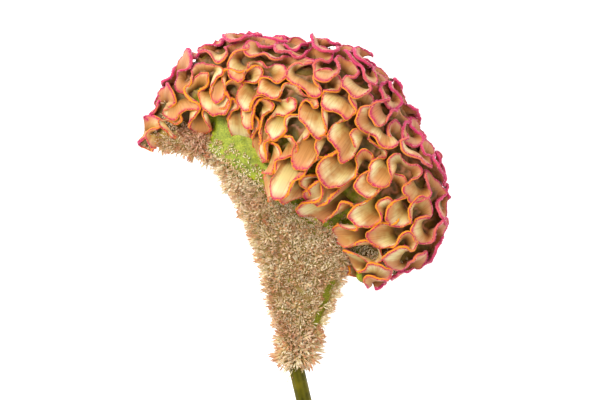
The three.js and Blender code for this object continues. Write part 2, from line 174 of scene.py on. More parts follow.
SHOULDER_STEPS = 6
BED_VOXEL = 1.1
BED_SMOOTHING = 4
BED_ROUGHNESS = 0.35
BED_WAVES = (2.5, 1)

# The value "beyond" says how far past the chord a place lies, or seems to lie: the bed turns green with it.
PAD_BEYOND = -20
BARE_BEYOND_FROM = -6
BARE_BEYOND_RISE = 8

# Green flesh: the loaf under the frill, joined to the fan's upper part.
CORE_SECTIONS = 60
CORE_SIDES = 48
CORE_DEPTH_SHARE = 0.73
CORE_SIDE_SHARE = 0.26
CORE_VOXEL = 1.0
CORE_SMOOTHING = 14
LUMP_HEIGHT = 0.45
LUMP_WAVES = (5, 2)
WART_HEIGHT = 0.25
WART_WAVES = (1.8, 3)
YOUNG_FOLD_WIDTH = 0.22
YOUNG_FOLD_HEIGHT = 1.3
YOUNG_FOLD_WAVES = (4.5, 12)
YOUNG_FOLDS_BEYOND = (12, 20)
LOWEST_FLESH = 0.3
FAN_COLUMNS = 24
FAN_LOW_SHARE = 0.78
FAN_HIGH_SHARE = 0.55
FAN_FIRST_STATION = 1.7
FAN_LAST_STATION = 6.3
FAN_END_MARGIN = 0.03
FAN_END_THINNING = 0.9

# The flesh darkens with "beyond", partly its own olive colour and partly painted shade under the frill, and
# it darkens towards its tips, from the first to the second x and likewise y.
DARK_TIPS = [(38, 46, 74, 66), (27, 32, 62, 56), (-45, -50, 200, 199)]
DARK_TIP_BEYOND = 60

# Stem: a ribbed stalk with a plain cut, which slopes down to the surface.
STEM_RADIUS = 3.4
STEM_LENGTH = 80
STEM_LEAN = 14 * DEG
STEM_TOP = (-0.75, 4)
KNEE_SHARE = 0.35
KNEE_HEIGHT_SHARE = 0.8
STEM_REST_CUT = 0.4
STEM_ROWS = 120
STEM_SIDES = 56
STEM_RIBS = 9
STEM_RIB_HEIGHT = 0.035
LEAF_SCARS = [(0.34, 2.1), (0.66, 4.6)]
SCAR_LENGTH_SHARE = 0.02
SCAR_NARROWNESS = 3
SCAR_HEIGHT = 0.9
NODE_HEIGHT = 0.25
RIB_TONE_TURN = 0.8

# The cut end's rings: share of the radius, depth of the dish in millimetres, and share of pith.
CUT_RINGS = [(0.96, -0.12, 0.1), (0.86, -0.1, 0.6), (0.8, 0.25, 1), (0.3, 0.35, 1)]

# Florets: a few papery bracts round each small flower.
FLORET_LENGTH = 3.0
BRACT_WIDTH = 0.5
BRACT_THICKNESS = 0.22
BRACTS = 5
BRACT_ROOT_GAP = 0.18
BRACT_ROWS = np.array([(0, 0.35), (0.4, 0.7), (0.78, 1.0)])
BRACT_TURNS = (-0.2, 0.2)
BRACT_SIZES = (0.8, 1.1)
BRACT_BOWS = (0.6, 1.4)
MOST_PER_SQUARE_METRE = 3.0e6
FORMS = ("Closed Floret", "Half Open Floret", "Open Floret")

# The forms of the florets: tilt in degrees, bow, length in millimetres and seed.
RIPE_FORMS = [(7, 0.0, FLORET_LENGTH, 1), (16, 0.12, FLORET_LENGTH, 2), (26, 0.25, FLORET_LENGTH * 0.95, 3)]
YOUNG_FORMS = [(12, 0.1, 1.5, 4), (26, 0.2, 1.7, 5), (42, 0.35, 1.8, 6)]

# Where they grow, and what the tree that scatters them is told.
CARPET = {"Spacing": 1.15 * MM, "Smallest": 0.6, "Largest": 1.5, "Untidiness": 0.5}
PAD_FROM = -34
PAD_TO = -40
NECK_EDGE = (-0.2, 1.2)
NECK_TUFT_HEIGHT = 22
NECK_TUFT_SIZE = 0.9
NECK_TUFT_RISE = (0.5, 5)
SIDE_TUFT_SIZE = 0.2
PAD_PINK = 0.6
PAD_EDGE = (-3, 0)
CARPET_EDGE = (1.0, -7.0)
CARPET_EDGE_WANDER = 3
CARPET_EDGE_WAVES = (5, 7)
CARPET_LEAN = 0.45
CARPET_SIZE_VARIATION = 0.3
CARPET_SIZE_WAVES = (3.0, 9)
PAD_DROOP = 0.9
NECK_DROOP = 0.15
BARE_STREAK = np.array([[8.6, 20.0], [15.6, 38.0]])
BARE_HALF_WIDTH = 1.9
BARE_INNER_SHARE = 0.4
BARE_EDGE_WANDER = 0.8
BARE_WAVES = (4, 11)
BARE_SHARE = 0.9
YOUNG = {"Spacing": 1.6 * MM, "Smallest": 0.8, "Largest": 1.3, "Seed": 9}
YOUNG_REACH = 11.0
YOUNG_LEAN = -0.3
YOUNG_EDGE = 2
YOUNG_EDGE_WANDER = 4
YOUNG_WAVES = (7, 8)
YOUNG_ABOVE_MIDDLE = (0, 6)

# The young florets' pieces on the flesh and on the bed, and how far past the chord each starts.
YOUNG_PIECES = [("young_florets", -3), ("edge_florets", -9)]

# Strands: dry curled threads that hang from the lowest florets round the stem. Curls are in degrees.
STRAND_LENGTH = 15.0
STRAND_RADIUS = 0.3
STRAND_ROWS = 22
STRAND_SIDES = 5
STRAND_CURLS = [(130, 1), (250, 2), (400, 3)]
STRAND_CURL_GROWTH = 1.3
STRANDS = {"Spacing": 1.5 * MM, "Smallest": 0.55, "Largest": 1.0, "Untidiness": 0.7, "Seed": 5}
STRAND_BAND = (-1.5, 3.5)
STRAND_BAND_EDGE = 0.5
STRAND_DROOP = 1.4
STRAND_SPREAD = 0.6
STRAND_SWAY = 0.9
STRAND_SWAY_TURN = 3
STRAND_TAPER = 0.65
STRAND_TIP_FROM = 0.3
STRAND_TIP_RISE = 0.6

# Rim grains: tiny blunt cells along the frill's edge.
GRAINS = {"Spacing": 0.65 * MM}
GRAIN_SIZE = 0.36
GRAIN_FROM_MIDDLE = 0.58
GRAIN_CLEARANCE = 0.6


def in_frame(points):
    """Points in millimetres from the neck, moved to their place in the frame, in metres."""
    return (np.asarray(points) + NECK) * MM


def dot(a, b):
    return a[..., 0] * b[..., 0] + a[..., 1] * b[..., 1] + a[..., 2] * b[..., 2]


def unit(a):
    return a / np.sqrt(np.maximum(dot(a, a), TINY))[..., None]


def smooth_step(low, high, value):
    share = np.clip((value - low) / (high - low), 0, 1)
    return share * share * (3 - 2 * share)


# The crest and the growth of its frill


def through(a, b, c, d, u):
    """Uniform Catmull-Rom value at the share u of the way from b to c."""
    square = 2 * a - 5 * b + 4 * c - d
    cube = 3 * b - a - 3 * c + d
    return 0.5 * (2 * b + (c - a) * u + square * u * u + cube * u**3)


def at_station(table, t):
    """Uniform Catmull-Rom value of a table at station t."""
    place = np.clip(t, 0, LAST_STATION - TINY)
    k = np.floor(place).astype(int)
    u = place - k
    return through(*(table[np.clip(k + i, 0, LAST_STATION)] for i in (-1, 0, 1, 2)), u)


def crest_point(t, phi, depth=0.0):
    """Point of the crest at station t and angle phi round the loaf, depth below its outer skin."""
    angle = STATION_FIRST_ANGLE + STATION_ANGLE_STEP * t
    loaf = at_station(LOAF_RADIUS, t)
    radius = loaf - depth
    reach = at_station(CREST_REACH, t) - loaf + radius * np.cos(phi)
    height = MID_HEIGHT + LOAF_FLATNESS * radius * np.sin(phi)
    x = HUB[0] + reach * np.cos(angle)
    y = HUB[1] + reach * np.sin(angle)
    return np.stack([x, y, np.maximum(height, 0)], -1)


def frill_depth(t):
    return np.minimum(FRILL_DEPTH, FRILL_DEPTH_SHARE * at_station(LOAF_RADIUS, t))


def on_grid(value):
    return np.floor(value / CHART_GRID + 0.5) * CHART_GRID


def random_source(seed):
    """Repeatable random numbers from 0 to 1."""
    state = seed
    whole = 0xFFFFFFFF
    while True:
        state = (state + 0x6D2B79F5) & whole
        t = ((state ^ (state >> 15)) * (state | 1)) & whole
        t ^= (t + (((t ^ (t >> 7)) * (t | 61)) & whole)) & whole
        yield ((t ^ (t >> 14)) & whole) / (whole + 1)


def varied(random, share):
    """A factor round 1, up to a share more or less."""
    return 1 - share + 2 * share * next(random)


def edge_angle(t):
    """Angle round the loaf at which the frill's outermost foot turn lies at station t."""
    return TIP_EDGE_ANGLE + MIDDLE_EDGE_EXTRA * np.sin(np.pi * t / LAST_STATION)


def hang_limited(t, phi):
    """The angle kept within the reach of the frill's hanging rim."""
    limit = edge_angle(t) + HANG_EXTRA
    return np.clip(phi, -limit, limit)


def foot_line():
    """The frill's foot line: a spiral over the crest in equal steps, as (t, phi) places."""
    turn = SPIRAL_TURNS * np.arange(SPIRAL_SAMPLES) / (SPIRAL_SAMPLES - 1)
    whole = np.minimum(np.floor(turn), SPIRAL_TURNS - 1)
    widened = smooth_step(TURN_WIDENS_FROM, 1, turn - np.floor(turn))
    ring = SPIRAL_EDGE - SPIRAL_PITCH * (SPIRAL_TURNS - 1 - whole) + SPIRAL_PITCH * widened
    radius = np.minimum(SPIRAL_EDGE, ring)
    x = radius * np.cos(2 * np.pi * turn)
    y = radius * np.sin(2 * np.pi * turn)
    t = MID_STATION * (1 + STATION_SPREAD * x)
    phi = hang_limited(t, edge_angle(t) * y / np.sqrt(np.maximum(1 - x * x, SMALLEST_TIP_SHARE)))
    gaps = np.linalg.norm(np.diff(crest_point(t, phi), axis=0), axis=1)
    lengths = np.concatenate([[0], np.cumsum(gaps)])
    goals = FOOT_STEP * np.arange(int(lengths[-1] / FOOT_STEP))
    return on_grid(np.stack([np.interp(goals, lengths, t), np.interp(goals, lengths, phi)], -1))


def first_wave(count):
    """Sideways offsets of the first gentle wave, each half wave with a length and height of its own."""
    random = random_source(GROWTH_SEED)
    offsets = np.zeros(count)
    i, side = 0, 1
    while i < count:
        steps = int(HALF_WAVE_LENGTH * varied(random, LENGTH_VARIATION) / FOOT_STEP)
        height = WAVE_HEIGHT * varied(random, HEIGHT_VARIATION)
        k = np.arange(min(steps, count - i))
        offsets[i : i + len(k)] = side * height * np.sin(np.pi * k / steps)
        i, side = i + len(k), -side
    return offsets


def tangents(place):
    """Chart tangents at places, by central differences."""
    t, phi = place.T
    e = CHART_PROBE
    along_t = (crest_point(t + e, phi) - crest_point(t - e, phi)) * (0.5 / e)
    along_phi = (crest_point(t, phi + e) - crest_point(t, phi - e)) * (0.5 / e)
    return along_t, along_phi


def moved(place, vector, longest):
    """Places moved along the crest by vectors, which are first shortened to the longest move allowed."""
    along_t, along_phi = tangents(place)
    size = np.sqrt(dot(vector, vector))
    move = vector * np.minimum(1, longest / np.maximum(size, TINY))[:, None]
    a = dot(along_t, along_t)
    b = dot(along_t, along_phi)
    c = dot(along_phi, along_phi) + CHART_STIFFNESS
    f, g = dot(move, along_t), dot(move, along_phi)
    det = a * c - b * b + TINY
    t = np.clip(place[:, 0] + (f * c - g * b) / det, TIP_MARGIN, LAST_STATION - TIP_MARGIN)
    return on_grid(np.stack([t, hang_limited(t, place[:, 1] + (a * g - b * f) / det)], -1))


def close_pairs(points, skip):
    """Pairs of places that lie close on the crest but not next to each other along the rim."""
    squares = dot(points, points)
    gaps = squares[:, None] + squares[None, :] - 2 * points @ points.T
    return np.nonzero(np.triu(gaps < (CLEAR_DISTANCE + LIST_MARGIN) ** 2, skip + 1))


def crowd_forces(points, i, j):
    """Pushes between the pairs of places that have come closer than the clear distance."""
    gap = points[j] - points[i]
    size = np.sqrt(dot(gap, gap))
    share = CROWD_FORCE * np.maximum(0, 1 - size / CLEAR_DISTANCE) / np.maximum(size, TINY)
    forces = np.zeros_like(points)
    np.add.at(forces, i, -gap * share[:, None])
    np.add.at(forces, j, gap * share[:, None])
    return forces


def rim_line(foot):
    """The rim: the waved foot line, grown longer while it curls into loops and keeps clear of itself."""
    count = len(foot)
    wave = first_wave(count) / WAVE_STEPS
    start = crest_point(*foot.T)
    index = np.arange(count)
    along = start[np.minimum(index + 1, count - 1)] - start[np.maximum(index - 1, 0)]
    side = np.cross(unit(np.cross(*tangents(foot))), unit(along))
    rim = foot
    for _ in range(WAVE_STEPS):
        rim = moved(rim, side * wave[:, None], WAVE_HEIGHT)
    for growth_round in range(GROWTH_ROUNDS):
        share = min(1, (growth_round + 1) / (GROWTH_SHARE * GROWTH_ROUNDS))
        rest = FOOT_STEP * (1 + (RIM_GROWTH - 1) * share)
        points = crest_point(*rim.T)
        forces = np.zeros_like(points)
        gap = points[1:] - points[:-1]
        size = np.sqrt(dot(gap, gap))
        pull = gap * (STRETCH_FORCE * (size - rest) / np.maximum(size, TINY))[:, None]
        forces[:-1] += pull
        forces[1:] -= pull
        bend = np.zeros_like(points)
        bend[1:-1] = points[:-2] - 2 * points[1:-1] + points[2:]
        wanted = rest**2 / LOOP_RADIUS
        bend *= (1 - wanted / (np.sqrt(dot(bend, bend)) + LOOP_SOFTNESS * wanted))[:, None]
        forces[1:-1] -= BEND_FORCE * (bend[:-2] - 2 * bend[1:-1] + bend[2:])
        if growth_round % LIST_EVERY == 0:
            i, j = close_pairs(points, math.floor(NEIGHBOUR_SHARE * CLEAR_DISTANCE / rest) + 1)
        rim = moved(rim, forces + crowd_forces(points, i, j), LARGEST_MOVE)
    return rim


def spline(nodes, per_segment):
    """Uniform cubic B-spline over a line's nodes, with per_segment samples to a segment."""
    nodes = np.asarray(nodes, float)
    before = 2 * nodes[:1] - nodes[1:2]
    after = 2 * nodes[-1:] - nodes[-2:-1]
    p = np.concatenate([before, nodes, after, after])
    u = np.arange((len(nodes) - 1) * per_segment + 1) / per_segment
    k = np.minimum(u.astype(int), len(nodes) - 2)
    f = u - k
    weights = [(1 - f) ** 3, 3 * f**3 - 6 * f**2 + 4, -3 * f**3 + 3 * f**2 + 3 * f + 1, f**3]
    if nodes.ndim > 1:
        weights = [w[:, None] for w in weights]
    return sum(w * p[k + i] for i, w in enumerate(weights)) / 6


def wander(lengths, wave_length, seed):
    """Smooth random values from about -1 to 1 along a line, one for each of its running lengths."""
    random = np.random.default_rng(seed)
    count = int(lengths[-1] / wave_length) + 3
    values = spline(random.uniform(-1, 1, count) * WANDER_GAIN, WANDER_STEPS)
    return np.interp(lengths / wave_length * WANDER_STEPS, np.arange(len(values)), values)


# Meshes


def linked(made):
    """The object, put into the scene."""
    bpy.context.scene.collection.objects.link(made)
    return made


def new_object(name, verts, faces, edges=(), **point_values):
    """An object in the scene, its verts in millimetres from the neck, with named values on its points."""
    mesh = bpy.data.meshes.new(name)
    mesh.from_pydata(in_frame(verts).tolist(), edges, faces)
    mesh.shade_smooth()
    made = linked(bpy.data.objects.new(name, mesh))
    for key, values in point_values.items():
        store(made, key, values)
    return made


def evaluated(obj):
    """The object's mesh replaced by what its modifiers make of it, and the modifiers removed."""
    depsgraph = bpy.context.evaluated_depsgraph_get()
    mesh = bpy.data.meshes.new_from_object(
        obj.evaluated_get(depsgraph), preserve_all_data_layers=True, depsgraph=depsgraph
    )
    obj.modifiers.clear()
    old = obj.data
    obj.data = mesh
    bpy.data.meshes.remove(old)
    mesh.name = obj.name
    return obj


def ring_faces(rings, sides):
    """Quads between closed rings of equal count, with a cap at each end."""
    faces = []
    for r in range(rings - 1):
        for s in range(sides):
            a = r * sides + s
            b = r * sides + (s + 1) % sides
            faces.append((a, b, b + sides, a + sides))
    first = tuple(range(sides))[::-1]
    last = tuple(range((rings - 1) * sides, rings * sides))
    return faces + [first, last]


def join(name, parts):
    """One object of several."""
    with bpy.context.temp_override(
        active_object=parts[0], selected_objects=parts, selected_editable_objects=parts
    ):
        bpy.ops.object.join()
    parts[0].name = name
    return parts[0]


def round_angles(sides):
    return 2 * np.pi * np.arange(sides) / sides


def loft(name, rings):
    """A closed object through closed rings of equal count."""
    rings = np.asarray(rings, float)
    return new_object(name, rings.reshape(-1, 3), ring_faces(len(rings), rings.shape[1]))


def flat_loft(name, middle, across, half, thick, sides):
    """A closed form of oval rings along a level line: half wide across it, and thick above and below."""
    turn = round_angles(sides)
    flat = middle[:, None] + across[:, None] * (half[:, None] * np.cos(turn))[..., None]
    height = MID_HEIGHT + thick[:, None] * np.sin(turn)
    return loft(name, np.concatenate([flat, height[..., None]], -1))


def tube(line, across, up, turn, radius):
    """Rings round a line, with a radius for each of its points and turns."""
    around = np.cos(turn)[:, None] * across[:, None] + np.sin(turn)[:, None] * up[:, None]
    return line[:, None] + radius[..., None] * around


def remeshed(obj, voxel, smoothing):
    """One closed skin round all the object's shells, with even faces, then smoothed."""
    skin = obj.modifiers.new("skin", "REMESH")
    skin.mode = "VOXEL"
    skin.voxel_size = voxel * MM
    skin.use_smooth_shade = True
    soften = obj.modifiers.new("soften", "SMOOTH")
    soften.iterations = smoothing
    return evaluated(obj)


def points_of(obj):
    """The object's points in millimetres from the neck, and their normals."""
    count = len(obj.data.vertices)
    points = np.empty(count * 3, np.float32)
    normals = np.empty(count * 3, np.float32)
    obj.data.vertices.foreach_get("co", points)
    obj.data.vertex_normals.foreach_get("vector", normals)
    return points.reshape(-1, 3).astype(float) / MM - NECK, normals.reshape(-1, 3).astype(float)


def set_points(obj, points):
    obj.data.vertices.foreach_set("co", in_frame(points).astype(np.float32).ravel())
    obj.data.update()


def store(obj, name, values):
    """Named values on the object's points: numbers, or vectors where they have three parts."""
    values = np.asarray(values, np.float32)
    kind, field = ("FLOAT_VECTOR", "vector") if values.ndim > 1 else ("FLOAT", "value")
    attribute = obj.data.attributes.new(name, kind, "POINT")
    attribute.data.foreach_set(field, values.ravel())


def bumps(points, length, seed):
    """Smooth noise from about -1 to 1 at each point, of a given wave length in millimetres."""
    shift = Vector([seed * step for step in NOISE_SHIFT])
    return np.array([noise.noise(Vector(point) / length + shift) for point in points])


def from_chord(points):
    """How far points lie beyond the chord, towards the crest."""
    along = (CHORD_RIGHT - CHORD_LEFT) / np.linalg.norm(CHORD_RIGHT - CHORD_LEFT)
    return (points[..., :2] - CHORD_LEFT) @ np.array([-along[1], along[0]])


# The frill


def running_mean(values, width):
    """Mean over a window of places along a line, with its ends held."""
    padded = np.pad(values, ((width // 2, width // 2), (0, 0)), mode="edge")
    sums = np.cumsum(np.concatenate([np.zeros((1, values.shape[1])), padded]), axis=0)
    return (sums[width:] - sums[:-width]) / width


def running_lengths(points):
    """Length run along a line up to each of its points."""
    return np.concatenate([[0], np.cumsum(np.linalg.norm(np.diff(points, axis=0), axis=1))])


def lobes(rim):
    """The rim with its outer lobes hung over the next row, and each place's share of outer lobe, -1 to 1."""
    middle = running_mean(rim, ROW_SMOOTHING)
    outer = np.sign(rim[:, 1]) * smooth_step(0, CREST_LINE_HALF_ANGLE, np.abs(rim[:, 1]))
    _, along_phi = tangents(rim)
    size = np.sqrt(dot(along_phi, along_phi))
    share = np.clip((rim[:, 1] - middle[:, 1]) * outer * size / LOBE_REACH, -1, 1)
    wandering = wander(running_lengths(crest_point(*rim.T)), *LOBE_WAVES)
    share *= LOBE_CONSTANCY + (1 - LOBE_CONSTANCY) * wandering
    reach = LOBE_OVERHANG + EDGE_OVERHANG * smooth_step(EDGE_FROM, EDGE_TO, np.abs(rim[:, 1]))
    hung = rim.copy()
    hung[:, 1] += outer * reach * np.maximum(share, 0) / size
    return hung, share


def frill_surface(foot, rim):
    """The frill's middle surface as (row, column, axis), with the angle round the loaf of each point."""
    hung, share = lobes(rim)
    full = hung.copy()
    full[1:-1] -= ROUNDING_MADE_GOOD * (hung[:-2] - 2 * hung[1:-1] + hung[2:])
    foot_fine = spline(foot, COLUMNS_PER_NODE)
    rim_fine = spline(full, COLUMNS_PER_NODE)
    share_fine = spline(share, COLUMNS_PER_NODE)
    lengths = running_lengths(crest_point(*rim_fine.T))
    sink = RIM_SINK * (0.5 + 0.5 * wander(lengths, *RIM_SINK_WAVES)) - RIM_STANDS_OUT
    sink += LOBE_SINK * (0.5 - 0.5 * share_fine)
    sink += SIDE_BUMPS * wander(lengths, *SIDE_BUMP_WAVES) * np.cos(rim_fine[:, 1]) ** 2
    rows, angles = [], []
    for h in FRILL_ROWS:
        share = FOOT_WAVE_SHARE + (1 - FOOT_WAVE_SHARE) * h**FLARE
        t = foot_fine[:, 0] + share * (rim_fine[:, 0] - foot_fine[:, 0])
        phi = foot_fine[:, 1] + share * (rim_fine[:, 1] - foot_fine[:, 1])
        phi = phi * (FOOT_DROOP + (1 - FOOT_DROOP) * h)
        depth = frill_depth(t) * (1 - h) * (1 - LIP * h) * (1 + (ROOT_DEPTH_SHARE - 1) * (1 - h))
        row = crest_point(t, phi, depth + sink * h * np.minimum(1, frill_depth(t) / FRILL_DEPTH))
        edge = smooth_step(EDGE_FROM, EDGE_TO, np.abs(phi)) * at_station(LOAF_RADIUS, t) / EDGE_LIFT_RADIUS
        row[:, 2] = np.maximum(row[:, 2] + np.sign(phi) * EDGE_LIFT * edge * h, 0)
        rows.append(row)
        angles.append(phi)
    return np.array(rows), np.array(angles), lengths


def frill_sections(rows, lengths):
    """Closed section of the ribbon at each column: up one side, over the rim and down the other."""
    along = np.gradient(rows, axis=1)
    up = np.gradient(rows, FRILL_ROWS, axis=0)
    normals = unit(np.cross(along, up))
    scallop = SCALLOP * wander(lengths, *SCALLOP_WAVES) * FRILL_ROWS[:, None] ** SCALLOP_FROM
    ripple = RIPPLE * wander(lengths, *RIPPLE_WAVES) * FRILL_ROWS[:, None] ** RIPPLE_FROM
    centre = rows + normals * (scallop + ripple)[..., None]
    crinkle = CRINKLE * wander(lengths, *CRINKLE_WAVES)
    centre += unit(up) * (crinkle * FRILL_ROWS[:, None] ** RIPPLE_FROM)[..., None]
    to_rim = smooth_step(THICKENS_FROM, 1, FRILL_ROWS)
    half = (WALL_THICKNESS + (RIM_THICKNESS - WALL_THICKNESS) * to_rim)[:, None, None] / 2
    left, right = centre + normals * half, centre - normals * half
    lift = unit(up[-1])
    arc = [
        centre[-1] + RIM_THICKNESS / 2 * (math.cos(a) * normals[-1] + math.sin(a) * lift) for a in RIM_ARC
    ]
    sections = np.concatenate([right, arc, left[::-1]])
    sections[..., 2] = np.maximum(sections[..., 2], 0)
    return sections, normals[-1], centre[-1]


def bulges(line, normals):
    """How far a line bends away from its normals, from -1 where they face into a loop to 1 outside it."""
    step = running_lengths(line)[-1] / (len(line) - 1)
    turn = np.gradient(np.gradient(line, axis=0), axis=0) / step**2
    return np.clip(-dot(running_mean(turn, BULGE_SMOOTHING), normals) * LOOP_RADIUS, -1, 1)


def frill_pieces(foot, rim):
    """The ribbon in a few long pieces, and its rim as a line with its normals and outward turn.

    Each point carries its rise from foot to rim, its outward turn, its bulge and its place along the ribbon.
    """
    rows, angles, lengths = frill_surface(foot, rim)
    sections, rim_normals, rim_centres = frill_sections(rows, lengths)
    sides, columns = sections.shape[:2]
    arc_rise = 1 + RIM_RISE * np.sin(RIM_ARC)
    rise = np.concatenate([FRILL_ROWS, arc_rise, FRILL_ROWS[::-1]])
    arc_angles = np.repeat(angles[-1:], len(RIM_ARC), axis=0)
    outward = np.cos(np.concatenate([angles, arc_angles, angles[::-1]]))
    to_left = np.concatenate([-np.ones(len(rows)), np.cos(RIM_ARC), np.ones(len(rows))])
    bulge = to_left[:, None] * bulges(rows[-1], rim_normals)
    made = []
    bounds = np.linspace(0, columns - 1, FRILL_PIECES + 1).astype(int)
    for number, (first, last) in enumerate(zip(bounds[:-1], bounds[1:])):
        part = slice(first, last + 1)
        count = last + 1 - first
        verts = sections[:, part].transpose(1, 0, 2).reshape(-1, 3)
        values = {
            "rise": np.tile(rise, count),
            "outward": outward[:, part].T.ravel(),
            "bulge": bulge[:, part].T.ravel(),
            "along": np.repeat(lengths[part], sides),
        }
        made.append(new_object(f"frill_{number + 1}", verts, ring_faces(count, sides), **values))
    return made, (rim_centres, rim_normals, np.cos(angles[-1]))


# The fan's floret bed and the green flesh


def edge_point(edge, share):
    """Point at an even share of the way along an edge's corners, on a smooth curve."""
    corners = np.array(edge, float)
    place = np.clip(share, 0, 1) * (len(corners) - 1)
    k = np.minimum(place.astype(int), len(corners) - 2)
    u = (place - k)[..., None]
    padded = np.concatenate([2 * corners[:1] - corners[1:2], corners, 2 * corners[-1:] - corners[-2:-1]])
    return through(*(padded[k + i] for i in range(4)), u)


def bare_streak(points):
    """A narrow streak up the right side of the fan where the florets part and the green skin shows."""
    low, high = BARE_STREAK
    flat = points[:, :2] - low
    share = np.clip(flat @ (high - low) / ((high - low) ** 2).sum(), 0, 1)
    away = np.linalg.norm(flat - share[:, None] * (high - low), axis=1)
    away += BARE_EDGE_WANDER * bumps(points, *BARE_WAVES)
    parted = smooth_step(BARE_HALF_WIDTH, BARE_INNER_SHARE * BARE_HALF_WIDTH, away)
    return parted * (points[:, 2] > MID_HEIGHT)


def fan_cone():
    """The flattened cone of the fan, from the neck to the chord."""
    shares = np.linspace(0, 1, FAN_ROWS)
    left, right = edge_point(FAN_LEFT_EDGE, shares), edge_point(FAN_RIGHT_EDGE, shares)
    half = np.linalg.norm(right - left, axis=1) / 2
    across = (right - left) / (2 * half)[:, None]
    thick = NECK_HALF_THICKNESS + (CHORD_HALF_THICKNESS - NECK_HALF_THICKNESS) * shares - FLORET_HEIGHT
    return flat_loft("cone", (left + right) / 2, across, half - FLORET_HEIGHT, thick, FAN_SIDES)


def shoulder_pad():
    """The strip under the left lobe, beyond the fan's corner."""
    line = spline(SHOULDER_LINE, SHOULDER_STEPS)
    widths = spline(SHOULDER_WIDTHS, SHOULDER_STEPS)
    along = np.gradient(line, axis=0)
    aside = np.stack([-along[:, 1], along[:, 0]], -1) / np.linalg.norm(along, axis=1)[:, None]
    thick = SHOULDER_HALF_THICKNESS * widths / max(SHOULDER_WIDTHS)
    return flat_loft("pad", line, aside, widths, thick, SHOULDER_SIDES)


def floret_bed():
    """Skin that the florets stand on, over the cone and the pad."""
    bed = remeshed(join("floret_bed", [fan_cone(), shoulder_pad()]), BED_VOXEL, BED_SMOOTHING)
    points, normals = points_of(bed)
    set_points(bed, points + normals * (BED_ROUGHNESS * bumps(points, *BED_WAVES))[:, None])
    beyond = from_chord(points) + PAD_BEYOND * smooth_step(PAD_FROM, PAD_TO, points[:, 0])
    store(bed, "beyond", np.maximum(beyond, BARE_BEYOND_FROM + BARE_BEYOND_RISE * bare_streak(points)))
    return bed


def crest_loaf():
    """The loaf that carries the frill, some way below its outer skin."""
    stations = np.linspace(TIP_MARGIN, LAST_STATION - TIP_MARGIN, CORE_SECTIONS)
    angles = round_angles(CORE_SIDES)
    full = (frill_depth(stations) / FRILL_DEPTH)[:, None]
    share = CORE_DEPTH_SHARE - CORE_SIDE_SHARE * full**2 * np.abs(np.cos(angles)) ** 3
    depth = frill_depth(stations)[:, None] * share
    return loft("loaf", crest_point(stations[:, None], angles[None], depth))


def upper_fan():
    """The fan between its chord and the axis of the loaf."""
    share = np.linspace(FAN_END_MARGIN, 1 - FAN_END_MARGIN, FAN_COLUMNS)
    t = FAN_FIRST_STATION + (FAN_LAST_STATION - FAN_FIRST_STATION) * share
    axis = crest_point(t, 0.0, at_station(LOAF_RADIUS, t))[:, :2]
    loaf_half = LOAF_FLATNESS * (at_station(LOAF_RADIUS, t) - frill_depth(t))
    chord_half = CHORD_HALF_THICKNESS * np.sqrt(1 - FAN_END_THINNING * (2 * share - 1) ** 2)
    low = np.minimum(chord_half, FAN_LOW_SHARE * loaf_half)
    high = FAN_HIGH_SHARE * loaf_half
    chord = CHORD_LEFT + (CHORD_RIGHT - CHORD_LEFT) * share[:, None]
    corners = [(chord, -low), (axis, -high), (axis, high), (chord, low)]
    rings = [np.concatenate([flat, (MID_HEIGHT + z)[:, None]], -1) for flat, z in corners]
    return loft("fan", np.stack(rings, 1))


def green_flesh():
    """The loaf in one skin with the fan's upper part, and young folds in low relief."""
    flesh = remeshed(join("green_flesh", [crest_loaf(), upper_fan()]), CORE_VOXEL, CORE_SMOOTHING)
    points, normals = points_of(flesh)
    lumps = LUMP_HEIGHT * bumps(points, *LUMP_WAVES) + WART_HEIGHT * bumps(points, *WART_WAVES)
    folds = smooth_step(YOUNG_FOLD_WIDTH, 0, np.abs(bumps(points, *YOUNG_FOLD_WAVES)))
    folds *= smooth_step(*YOUNG_FOLDS_BEYOND, from_chord(points))
    points += normals * (lumps + YOUNG_FOLD_HEIGHT * folds)[:, None]
    points[:, 2] = np.maximum(points[:, 2], LOWEST_FLESH)
    set_points(flesh, points)
    store(flesh, "fold", folds)
    x, y = points[:, 0], points[:, 1]
    tips = sum(smooth_step(a, b, x) * smooth_step(c, d, y) for a, b, c, d in DARK_TIPS)
    store(flesh, "beyond", from_chord(points) + DARK_TIP_BEYOND * tips)
    return flesh


# The stem


def stem_line(shares):
    """The stalk's middle line from inside the neck to the cut."""
    reach = STEM_LENGTH * math.sin(STEM_LEAN)
    drop = STEM_LENGTH * math.cos(STEM_LEAN)
    x, y = STEM_TOP
    top = np.array([x, y, MID_HEIGHT])
    knee = np.array([x + reach * KNEE_SHARE, -drop * KNEE_SHARE, MID_HEIGHT * KNEE_HEIGHT_SHARE])
    cut = np.array([x + reach, -drop, STEM_RADIUS - STEM_REST_CUT])
    u = shares[:, None]
    return (1 - u) ** 2 * top + 2 * u * (1 - u) * knee + u**2 * cut


